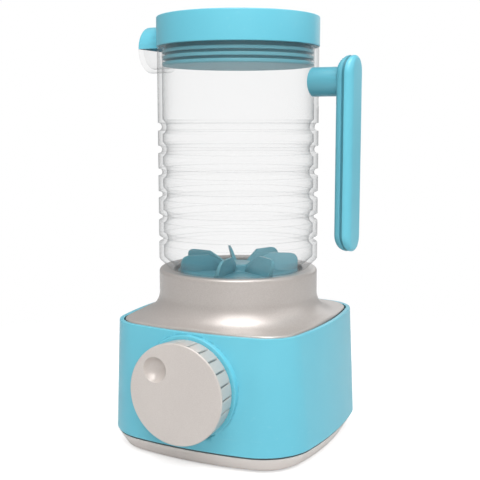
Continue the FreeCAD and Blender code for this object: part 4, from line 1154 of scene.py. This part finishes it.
    def tray(self) -> Object:
        """Pearl tray with its rim, lip, screw posts and the recess for the pad.

        Returns:
            The tray.
        """
        low, floor, joint, lip = 1.0, 3.2, 9.2, 13.5
        over = self.outline(self.low)
        top = BowedSquare(over.half - 0.7, over.corner - 0.7, over.bow - 0.7)
        rings = [self.tray_foot.ring(inset, z)
                 for inset, z in ((6.0, low), (1.6, low), (0.9, 1.06), (0.35, 1.35))]
        rings += [self.tray_foot.mixed(top, (z - low) / (joint - low)).ring(0.0, z)
                  for z in (1.9, 3.0, 5.0, 7.0, 8.8)]
        rings += [top.ring(0.15, 9.1), top.ring(0.45, joint)]
        rings += [over.ring(inset, z) for inset, z in ((1.5, joint), (1.5, self.low), (2.7, self.low),
                                                       (2.7, lip), (4.7, lip), (4.7, joint))]
        rings += [self.tray_foot.ring(2.4, floor + 0.6), self.tray_foot.ring(3.0, floor)]
        tray = carved(skinned("tray", rings), Cut.JOIN, merged(self.posts(self.post_radius, 2.0, 14.0)))
        recess = skinned("pad_recess", [self.pad.ring(0.0, z, (4, 4, 4, 4), 10) for z in (0.0, 2.2)])
        carved(tray, Cut.REMOVE, *self.posts(3.0, 0.0, 5.0), *self.posts(1.7, 4.8, 15.0, 24), recess)
        # Paint shade on the recessed ring between the tray and the housing.
        return painted_seam_shade(tray, lambda x, y, z: (z > joint - 0.02) & (z < self.low + 0.02))

    def build(self, blue: Material, pearl: Material, lit_tray_pearl: Material) -> None:
        """Build and fit the three pieces.

        Args:
            blue: Finish of the housing.
            pearl: Finish of the cover.
            lit_tray_pearl: Finish of the tray.
        """
        fitted(self.housing(), "case_housing", blue, Body.BASE, Slot.BLUE, "base_housing")
        fitted(self.cover(), "case_cover", pearl, Body.BASE, Slot.PEARL, "top_cover")
        fitted(self.tray(), "case_tray", lit_tray_pearl, Body.BASE, Slot.PEARL, "bottom_tray")


@dataclass
class CrankKnob:
    """Round knob with a finger dimple and a grooved rim, in millimetres."""

    height: float = 42.8
    back: float = 60.29
    front: float = 73.09
    back_radius: float = 26.2
    front_radius: float = 27.0
    edge: float = 0.8
    band: float = 1.0
    wall: float = 2.6
    face: float = 3.0
    hub: float = 9.5
    bore: float = 3.02
    grooves: int = 24
    groove_width: float = 0.8
    groove_depth: float = 0.7
    dimple: Point = (-11.9, 11.9)
    dimple_radius: float = 6.7
    dimple_depth: float = 4.8
    dimple_wall: float = 1.8
    dimple_lip: float = 0.5
    sharp: float = 30.0

    def angles(self) -> np.ndarray:
        """Angles of the knob's points, closer together at its grooves.

        Returns:
            The angles of one turn, in order.
        """
        half = self.groove_width / 2.0 / self.front_radius
        step = TURN / self.grooves
        near = [-half - 0.006, -half, half, half + 0.006]
        far = np.linspace(half + 0.02, step - half - 0.02, 7)
        return np.array([step * index + a for index in range(self.grooves) for a in (*near, *far)])

    def ball(self, grown: float) -> tuple[float, float]:
        """Radius and centre height of the dimple's ball, made larger by an amount."""
        radius = (self.dimple_radius ** 2 + self.dimple_depth ** 2) / (2.0 * self.dimple_depth)
        return radius + grown, self.front + radius - self.dimple_depth

    def cup(self) -> Object:
        """Wall behind the dimple.

        Returns:
            The cup, upright round the dimple's middle.
        """
        size, centre = self.ball(self.dimple_wall)
        top = self.front - self.face / 2.0
        outline = arc(0.0, centre, size, math.acos((centre - top) / size) - QUARTER, -QUARTER, 14)
        return skinned("cup", turned([(0.0, top), *outline], 64, self.dimple))

    def scoop(self) -> Object:
        """Solid that hollows the dimple and rounds its lip.

        Returns:
            The scoop, upright round the dimple's middle.
        """
        size, centre = self.ball(0.0)
        lip, drop = self.dimple_lip, self.front - self.dimple_lip
        turn = math.acos((centre - drop) / (size + lip))
        middle = (size + lip) * math.sin(turn)
        outline = [(0.0, self.front + 2.0), (middle, self.front + 2.0)]
        outline += arc(middle, drop, lip, QUARTER, QUARTER + turn, 8)
        outline += arc(0.0, centre, size, turn - QUARTER, -QUARTER, 20)[1:]
        return skinned("scoop", turned(outline, 96, self.dimple))

    def pressed(self, spots: np.ndarray) -> np.ndarray:
        """Points with the fine grooves pressed into the side, up to the smooth band at its front.

        Args:
            spots: Table of the knob's points.

        Returns:
            The same table, changed.
        """
        turn, radius = polar(spots)
        step = TURN / self.grooves
        deep = (np.abs((turn + step / 2) % step - step / 2)
                < self.groove_width / 2.0 / self.front_radius + 0.001)
        deep &= (radius > self.back_radius - 0.2) & (spots[:, 2] < self.front - self.band - 0.1)
        spots[deep, :2] *= (1.0 - self.groove_depth / radius[deep])[:, None]
        return spots

    def build(self, pearl: Material) -> None:
        """Build the knob and fit it to the crank.

        Args:
            pearl: Finish of the knob.
        """
        back, rim, face = self.back, self.front - self.edge, self.front - self.face
        inner, band = self.back_radius - self.wall, self.front - self.band
        outline = [(self.hub, back + 3.5), (self.hub, face - 0.8), (self.hub + 0.8, face),
                   (inner - 0.8, face), (inner, face - 0.8), (inner, back + 0.3), (inner + 0.3, back),
                   (self.back_radius - 0.4, back), (self.back_radius, back + 0.4)]
        slope = (self.front_radius - self.back_radius) / (rim - back)
        outline += [(self.back_radius + slope * (z - back), z)
                    for z in (back + 3.5, back + 7.0, band - 0.15, band, rim)]
        outline += arc(self.front_radius - self.edge, rim, self.edge, 0.25, QUARTER, 6)
        angles = self.angles()
        knob = skinned("knob_body", [level(angles, radius, height) for radius, height in outline],
                       sharp=self.sharp)
        moved(knob, self.pressed)
        carved(knob, Cut.JOIN, self.cup(), sharp=self.sharp)
        carved(knob, Cut.REMOVE, self.scoop(), disc(self.bore, back - 1.0, self.front - 2.2),
               sharp=self.sharp)
        weighted(to_front(knob, self.height), self.sharp)
        fitted(knob, "turning_knob", pearl, Body.CRANK, Slot.PEARL, "knob")


@dataclass
class ClearJar:
    """Clear jar with ring grooves, a spout and a keyed neck, in millimetres."""

    radius: float = 45.0
    wall: float = 2.6
    seat: float = 98.8
    rim: float = 221.9
    taper: float = 5.6
    neck: float = 36.4
    neck_inner: float = 34.9
    neck_low: float = 80.6
    key_low: float = 77.4
    floor: float = 94.1
    floor_under: float = 91.7
    hole: float = 4.61
    stub: float = 4.0
    stub_bore: float = 1.3
    stub_height: float = 202.0
    first_groove: float = 115.3
    pitch: float = 12.56
    grooves: int = 6
    groove: float = 2.2
    least_grooved: float = 42.0

    def groove_heights(self, behind: float) -> list[float]:
        """Heights of the rows that carry the grooves, for a face this far behind the outer one.

        Args:
            behind: Distance of the face behind the outer one.

        Returns:
            The heights, upwards.
        """
        size = self.groove + behind
        turn = math.acos(behind / size)
        return [self.first_groove + self.pitch * index + size * math.sin(a)
                for index in range(self.grooves) for a in np.linspace(-turn, turn, 15)]

    def walls(self) -> Object:
        """Wall, taper, neck and floor as one turned body, with rows ready for the grooves.

        Returns:
            The body.
        """
        inner, taper_top = self.radius - self.wall, self.seat + self.taper
        outline = rounded([
            (self.hole, self.floor_under, 0.3), (self.neck_inner, self.floor_under, 0.8),
            (self.neck_inner, self.neck_low, 0.5), (self.neck, self.neck_low, 0.6),
            (self.neck, self.seat, 0.5), (self.radius - self.taper, self.seat, 1.0),
            (self.radius, taper_top, 1.2), (self.radius, self.rim, 0.6), (inner, self.rim, 0.6),
            (inner, taper_top + 1.1, 1.2), (self.neck_inner + 1.2, self.seat + 1.2, 1.0),
            (self.neck_inner, self.floor, 0.6), (self.hole, self.floor, 0.3)], 6)
        for reach, rows, way in ((self.radius, self.groove_heights(0.0), 1.0),
                                 (inner, self.groove_heights(self.wall)[::-1], -1.0)):
            at = 1 + max(k for k, (r, z) in enumerate(outline)
                         if abs(r - reach) < 0.01 and way * (rows[0] - z) > 0.0)
            outline[at:at] = [(reach, z) for z in rows]
        return skinned("jar_walls", turned(outline, 180), wrap=True)

    def build(self, clear: Material) -> None:
        """Build the jar and fit it.

        Args:
            clear: Finish of the jar.
        """
        jar = carved(self.walls(), Cut.JOIN,
                     thrice(self.neck_inner, self.neck, 4.0, self.key_low, self.neck_low + 2.0),
                     Spout().half(self.radius - 2.2, 0.9, False))
        carved(jar, Cut.REMOVE, Spout().half(self.radius - self.wall - 3.0, 0.6, False, True))
        carved(jar, Cut.JOIN, rod(self.stub, self.radius - 1.0, self.radius + 5.0, self.stub_height, 48))
        carved(jar, Cut.REMOVE,
               rod(self.stub_bore, self.radius + 0.6, self.radius + 6.0, self.stub_height, 24))
        grooved_wall(clear).run(jar, First=self.first_groove * MM, Pitch=self.pitch * MM, Count=self.grooves,
                                Groove_Radius=self.groove * MM, Wall_Radius=self.radius * MM,
                                Least_Radius=self.least_grooved * MM)
        fitted(jar, "clear_jar", clear, Body.JAR, Slot.CLEAR, "jar")


@dataclass
class BladeRotor:
    """Disc with a hub and a ring of rounded paddles, in millimetres."""

    disc_radius: float = 34.5
    under: float = 94.5
    top: float = 97.1
    hub: float = 9.5
    hub_top: float = 101.0
    bore: float = 2.55
    bore_top: float = 99.4
    count: int = 7
    start: float = 121.2
    thickness: float = 2.7
    top_thickness: float = 1.4
    lean: float = 17.0
    root: float = 7.7
    tip: float = 34.0
    paddle_top: float = 106.6
    corner: float = 4.86
    shoulder: float = 18.0
    sharp: float = 50.0

    def paddle(self) -> Object:
        """One paddle on +X, leaning and thinner at its top, with rounded edges.

        Returns:
            The paddle.
        """
        side = rounded([(self.root, self.top - 0.5, 0.0), (self.tip, self.top - 0.5, 0.0),
                        (self.tip, self.paddle_top, self.corner), (self.shoulder, self.paddle_top, 2.5),
                        (self.root + 1.0, self.hub_top, 0.8), (self.root, self.hub_top, 0.0)], 8)
        shift = math.tan(math.radians(self.lean))
        thinner = (self.top_thickness - self.thickness) / (self.paddle_top - self.top)
        rings = [np.array([(x, shift * (z - self.top) + way * (self.thickness + thinner * (z - self.top)), z)
                           for x, z in side]) for way in (-0.5, 0.5)]
        return modified(skinned("paddle", rings, sharp=self.sharp), "BEVEL", width=0.4 * MM, segments=3,
                        limit_method="ANGLE", angle_limit=math.radians(self.sharp), harden_normals=False)

    def build(self, blue: Material) -> None:
        """Build the rotor and fit it.

        Args:
            blue: Finish of the rotor.
        """
        outline = rounded([(0.0, self.under, 0.0), (self.disc_radius, self.under, 0.5),
                           (self.disc_radius, self.top, 0.5), (self.hub, self.top, 0.6),
                           (self.hub, self.hub_top, 0.8), (0.0, self.hub_top, 0.0)], 5)
        rotor = skinned("rotor_disc", turned(outline, 96))
        ring = ring_of_copies(blue).run(self.paddle(), Count=self.count, Start_Angle=math.radians(self.start))
        carved(rotor, Cut.JOIN, ring)
        carved(rotor, Cut.REMOVE, disc(self.bore, self.under - 1.0, self.bore_top, 32))
        fitted(rotor, "paddle_rotor", blue, Body.ROTOR, Slot.BLUE, "blade_rotor")


@dataclass
class JarLid:
    """Blue cap with a hood over the spout, and the ribbed plug inside it, in millimetres."""

    radius: float = 45.3
    rim: float = 221.9
    top: float = 237.9
    wall: float = 3.0
    roof: float = 235.5
    edge: float = 0.8
    plug: float = 40.3
    plug_wall: float = 2.0
    plug_low: float = 211.2
    plug_floor: float = 213.4
    steps: tuple[Triple, ...] = ((211.4, 213.3, 42.1), (214.75, 216.65, 42.1), (218.1, 220.0, 42.1),
                                 (222.4, 224.8, 42.25), (233.1, 235.5, 42.25))

    def cap(self) -> Object:
        """Cap with its hood.

        Returns:
            The cap.
        """
        inner = self.radius - self.wall
        outline = rounded([(0.0, self.roof, 0.0), (inner, self.roof, 0.8), (inner, self.rim, 0.4),
                           (self.radius, self.rim, 0.5), (self.radius, self.top, self.edge),
                           (0.0, self.top, 0.0)], 6)
        hood = carved(Spout().half(self.radius - 2.4, 0.9, True), Cut.REMOVE,
                      Spout().half(self.radius - 8.0, 0.5, True, True))
        return carved(skinned("cap", turned(outline, 160)), Cut.JOIN, hood)

    def plug_body(self) -> Object:
        """Plug with its ribs and seating bands.

        Returns:
            The plug.
        """
        corners = [(0.0, self.plug_low, 0.0), (self.plug, self.plug_low, 0.3)]
        for low, high, reach in self.steps:
            corners += [(self.plug, low, 0.2), (reach, low, 0.5), (reach, high, 0.5), (self.plug, high, 0.2)]
        inner = self.plug - self.plug_wall
        corners[-1:] = [(self.plug - 0.2, self.roof, 0.0), (inner, self.roof, 0.3),
                        (inner, self.plug_floor, 0.8), (0.0, self.plug_floor, 0.0)]
        plug = skinned("plug", turned(rounded(corners), 144))
        # Paint shade in the recesses between the ribs.
        return painted_seam_shade(plug, lambda x, y, z: (abs(np.hypot(x, y) - self.plug) < 0.35) & (z > self.steps[0][1])
                    & (z < self.rim + 0.5))

    def build(self, blue: Material, inner_blue: Material) -> None:
        """Build both pieces and fit them."""
        fitted(self.cap(), "jar_lid", blue, Body.LID, Slot.BLUE, "lid_cap")
        fitted(self.plug_body(), "jar_plug", inner_blue, Body.LID, Slot.INNER_BLUE, "lid_plug")


@dataclass
class GripHandle:
    """Flat grip in two halves on a short peg, in millimetres."""

    near: float = 61.0
    seam: float = 64.4
    groove: float = 1.35
    far: float = 70.0
    half: float = 10.0
    low: float = 111.8
    high: float = 215.6
    near_round: float = 2.4
    end_run: float = 11.0
    end_lip: float = 0.6
    far_round: Point = (3.1, 4.5)
    far_end_share: float = 0.4
    seam_inset: float = 0.9
    seam_bend: float = 2.2
    peg: float = 7.76
    peg_start: float = 40.0
    peg_height: float = 202.0
    peg_bore: float = 4.05
    mount_bore: float = 1.7
    mount_head: float = 3.2
    jar: float = 45.05
    screws: Point = (125.0, 182.0)
    screw_bore: float = 1.4
    screw_head: float = 2.6
    screw_boss: float = 3.0
    screw_thread: float = 1.25

    def plate(self, name: str, stations: Sequence[Point], end_share: float = 1.0) -> Object:
        """Long plate with round ends over (x, inset) stations, its ends set in by a share of the inset.

        Args:
            name: Name of the plate.
            stations: Places along X, each with how far the outline is set in there.
            end_share: Share of the inset that its two ends take.

        Returns:
            The plate.
        """
        kept = 1.0 - end_share
        return skinned(name, [stadium(self.half, self.low - kept * inset, self.high + kept * inset, inset, x)
                              for x, inset in stations])

    def bent(self, spots: np.ndarray) -> np.ndarray:
        """Points with the seam drawn outwards towards both ends of the handle.

        Args:
            spots: Table of the handle's points.

        Returns:
            The same table, changed.
        """
        reach = np.abs(spots[:, 2] - (self.low + self.high) / 2) - (self.high - self.low) / 2 + self.end_run
        bend = self.seam_bend * (1.0 - np.sqrt(1.0 - np.clip(reach / self.end_run, 0.0, 1.0) ** 2))
        spots[:, 0] += bend * np.interp(
            spots[:, 0], [self.near, self.seam, self.seam + self.groove, self.far], [0.0, 1.0, 1.0, 0.0])
        return spots

    def inner(self) -> Object:
        """Inner half with the hollow peg.

        Returns:
            The inner half.
        """
        size = self.near_round
        depth = self.seam - self.near - self.end_lip
        curve = (depth ** 2 + self.end_run ** 2) / (2.0 * depth)
        sides = arc(self.near + size, size, size, math.pi, 1.5 * math.pi, 9)
        sides += [(63.5, 0.0), (63.8, 0.0), (self.seam - 0.3, 0.0), (self.seam, 0.25)]
        middle = (self.low + self.high) / 2
        rings = []
        for x, inset in sides:
            drop = max(0.0, self.end_run - math.sqrt(max(0.0, curve ** 2 - (curve - (x - self.near)) ** 2)))
            limit = (self.high - self.low) / 2 - drop
            ring = stadium(self.half, self.low, self.high, inset, x)
            ring[:, 2] = middle + np.clip(ring[:, 2] - middle, -limit, limit)
            rings.append(ring)
        peg = carved(rod(self.peg, self.peg_start, self.near + 2.0, self.peg_height, 64), Cut.REMOVE,
                     disc(self.jar, self.peg_height - 15.0, self.peg_height + 15.0, 240))
        start, out = self.peg_start - 1.0, self.seam + 1.0
        bores = [rod(self.peg_bore, start, self.near - 3.0, self.peg_height, 48),
                 rod(self.mount_bore, start, out, self.peg_height),
                 rod(self.mount_head, self.near, out, self.peg_height)]
        for height in self.screws:
            bores += [rod(self.screw_bore, self.near - 1.0, out, height),
                      rod(self.screw_head, self.near - 1.0, self.near + 1.65, height)]
        inner = carved(skinned("grip_inner", rings), Cut.JOIN, peg)
        return moved(carved(inner, Cut.REMOVE, *bores), self.bent)

    def cover(self) -> Object:
        """Outer half, set off by the shadow line and hollow inside.

        Returns:
            The outer half.
        """
        start, under = self.seam + self.groove, self.seam - 1.0
        deep, wide = self.far_round
        stations = [(self.seam, self.seam_inset), (start, self.seam_inset), (start, 0.3),
                    (start + 0.08, 0.08), (start + 0.3, 0.0),
                    *arc(self.far - deep, wide, (deep, wide), -QUARTER, 0.0, 14)]
        hollow = self.plate("hollow", [(self.seam - 0.5, 2.5), (self.far - 2.6, 2.5), (self.far - 1.6, 4.0)])
        carved(hollow, Cut.REMOVE, *(rod(self.screw_boss, under, self.far + 1.0, height)
                                     for height in self.screws))
        cover = carved(self.plate("grip_cover", stations, self.far_end_share), Cut.REMOVE, hollow,
                       *(rod(self.screw_thread, under, self.far - 1.2, height) for height in self.screws))
        # Paint shade in the seam groove between the two halves.
        painted_seam_shade(cover, lambda x, y, z: (x > self.seam + 0.05) & (x < start - 0.05), 0.85)
        return moved(cover, self.bent)

    def build(self, blue: Material, inner_blue: Material) -> None:
        """Build both halves and fit them."""
        fitted(self.inner(), "grip_inner_half", inner_blue, Body.JAR, Slot.INNER_BLUE, "handle_inner")
        fitted(self.cover(), "grip_outer_half", blue, Body.JAR, Slot.BLUE, "handle_cover")


def finish_carried(finishes: dict[Slot, Material]) -> None:
    """Give every node that nothing stands for its finish: gears, shafts, bushes, screws and rubber.

    Args:
        finishes: Material of each slot that these nodes use.
    """
    slots = {part["node"]: part["material_slot"] for part in frame["record"]["subparts"]}
    for name, node in frame["nodes"].items():
        if not node.hide_render:
            dressed(node, finishes[Slot(slots[name])])
            LOG.info("%s keeps its own shape in %s", name, slots[name])


# Studio, in metres


@dataclass(frozen=True)
class Lamp:
    """Soft rectangular lamp that points at a spot.

    Args:
        name: Name of the lamp.
        spot: Its place.
        aim: Where it points.
        size: Its width and height.
        power: Its power in watts.
        glossy: Whether it shows in reflections.
        diffuse: Whether it lights matt surfaces.
    """

    name: str
    spot: Triple
    aim: Triple
    size: Point
    power: float
    glossy: bool = True
    diffuse: bool = True

    def build(self) -> None:
        """Add the lamp."""
        data = bpy.data.lights.new(self.name, "AREA")
        data.shape = "RECTANGLE"
        data.size, data.size_y = self.size
        data.energy = self.power
        lamp = added(self.name, data)
        lamp.location = self.spot
        lamp.rotation_euler = (Vector(self.aim) - Vector(self.spot)).to_track_quat("-Z", "Y").to_euler()
        lamp.visible_glossy, lamp.visible_diffuse = self.glossy, self.diffuse
        LOG.info("lamp %s: %.1f W", self.name, self.power)


@dataclass
class Studio:
    """Camera, lamps, floor and backdrop."""

    place: Triple = (0.222245, -0.448950, 0.181645)
    tilt: float = 82.287
    heading: float = 26.222
    lens: float = 66.27
    floor_half: float = 3.0
    world_light: float = 0.38
    floor_glow: float = 0.52
    lamps: tuple[Lamp, ...] = (
        Lamp("key", (0.247, -0.463, 0.969), (0.0, 0.0, 0.08), (0.75, 0.85), 7.2),
        Lamp("right", (0.90, 0.20, 0.75), (0.0, 0.0, 0.10), (0.9, 0.9), 1.8),
        Lamp("front", (0.72, -0.98, 0.45), (0.0, 0.0, 0.08), (0.6, 0.5), 2.6, glossy=False),
        Lamp("left", (-0.85, -0.78, 0.66), (0.0, 0.0, 0.06), (0.32, 0.28), 1.2, glossy=False),
        Lamp("sheen", (0.10, -0.13, 1.10), (0.0, 0.0, 0.08), (0.55, 0.40), 3.6, diffuse=False),
        Lamp("back", (-0.05, 1.05, 0.40), (0.03, 0.0, 0.08), (0.9, 0.4), 0.8, diffuse=False))

    def camera(self) -> None:
        """Camera that looks at the part from the front right."""
        data = bpy.data.cameras.new("camera")
        data.lens, data.sensor_width, data.clip_start = self.lens, 36.0, 0.01
        camera = added("camera", data)
        camera.location = self.place
        camera.rotation_euler = (math.radians(self.tilt), 0.0, math.radians(self.heading))
        bpy.context.scene.camera = camera

    def draw_floor(self, graph: Graph) -> NodeSocket:
        """Pale shader that fades out with distance for the camera alone.

        Args:
            graph: Graph of the floor's material.

        Returns:
            The shader's output.
        """
        spot = graph.spot()
        reach = graph.add("ShaderNodeVectorMath", {0: spot}, operation="LENGTH").outputs["Value"]
        tone = graph.mixed(graph.spread(graph.noise(spot, 3.0, 2.0), 0.3, 0.7), grey(0.86), grey(0.90))
        path = graph.add("ShaderNodeLightPath").outputs
        seen = path["Is Camera Ray"]
        shade = graph.mixed(path["Is Glossy Ray"], grey(0.58), grey(0.95))
        fade = graph.spread(reach, 0.12, 0.34, 1.0, 0.0)
        return graph.add("ShaderNodeBsdfPrincipled", {
            "Base Color": graph.mixed(seen, shade, tone), "Roughness": 0.9, "Emission Color": grey(1.0),
            "Emission Strength": graph.times(seen, self.floor_glow),
            "Alpha": graph.sum("MAXIMUM", fade, graph.sum("SUBTRACT", 1.0, seen))}).outputs[0]

    def floor(self) -> None:
        """Pale floor that takes the part's shadow."""
        wide = self.floor_half
        mesh = bpy.data.meshes.new("floor")
        mesh.from_pydata([(-wide, -wide, 0.0), (wide, -wide, 0.0), (wide, wide, 0.0), (-wide, wide, 0.0)], [],
                         [(0, 1, 2, 3)])
        mesh.materials.append(material_of("pale_floor", self.draw_floor))
        added("floor", mesh)

    def world(self) -> None:
        """White for the camera and through clear pieces, softer as a light."""
        world = bpy.data.worlds.new("studio")
        world.use_nodes = True
        world.node_tree.nodes.clear()
        graph = Graph(world.node_tree)
        soft, white = (graph.add("ShaderNodeBackground", {0: grey(1.0), 1: strength}).outputs[0]
                       for strength in (self.world_light, 1.0))
        path = graph.add("ShaderNodeLightPath").outputs
        seen = graph.sum("MAXIMUM", path["Is Camera Ray"], path["Is Transmission Ray"])
        both = graph.add("ShaderNodeMixShader", {0: seen, 1: soft, 2: white}).outputs[0]
        graph.add("ShaderNodeOutputWorld", {0: both})
        bpy.context.scene.world = world

    def build(self) -> None:
        """Set up the studio."""
        self.camera()
        for lamp in self.lamps:
            lamp.build()
        self.floor()
        self.world()
        bpy.context.scene.view_settings.view_transform = "Standard"


def main() -> None:
    """Build every piece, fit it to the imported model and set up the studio."""
    blue, inner_blue, pearl, lit_knob_pearl, lit_tray_pearl, clear, shaded_rotor_blue, shaded_plug_blue, ivory, steel, rubber = (
        material_of(finish.name, finish.draw) for finish in (
            BLUE, INNER_BLUE, PEARL, LIT_KNOB_PEARL, LIT_TRAY_PEARL, CLEAR, SHADED_ROTOR_BLUE, SHADED_PLUG_BLUE, IVORY, STEEL,
            RUBBER))
    BaseCase().build(blue, pearl, lit_tray_pearl)
    CrankKnob().build(lit_knob_pearl)
    ClearJar().build(clear)
    BladeRotor().build(shaded_rotor_blue)
    JarLid().build(blue, shaded_plug_blue)
    GripHandle().build(blue, inner_blue)
    finish_carried({Slot.BLUE: blue, Slot.INNER_BLUE: inner_blue, Slot.PEARL: pearl, Slot.CLEAR: clear,
                    Slot.GEAR: ivory, Slot.STEEL: steel, Slot.RUBBER: rubber})
    Studio().build()


if __name__ == "__main__":
    main()
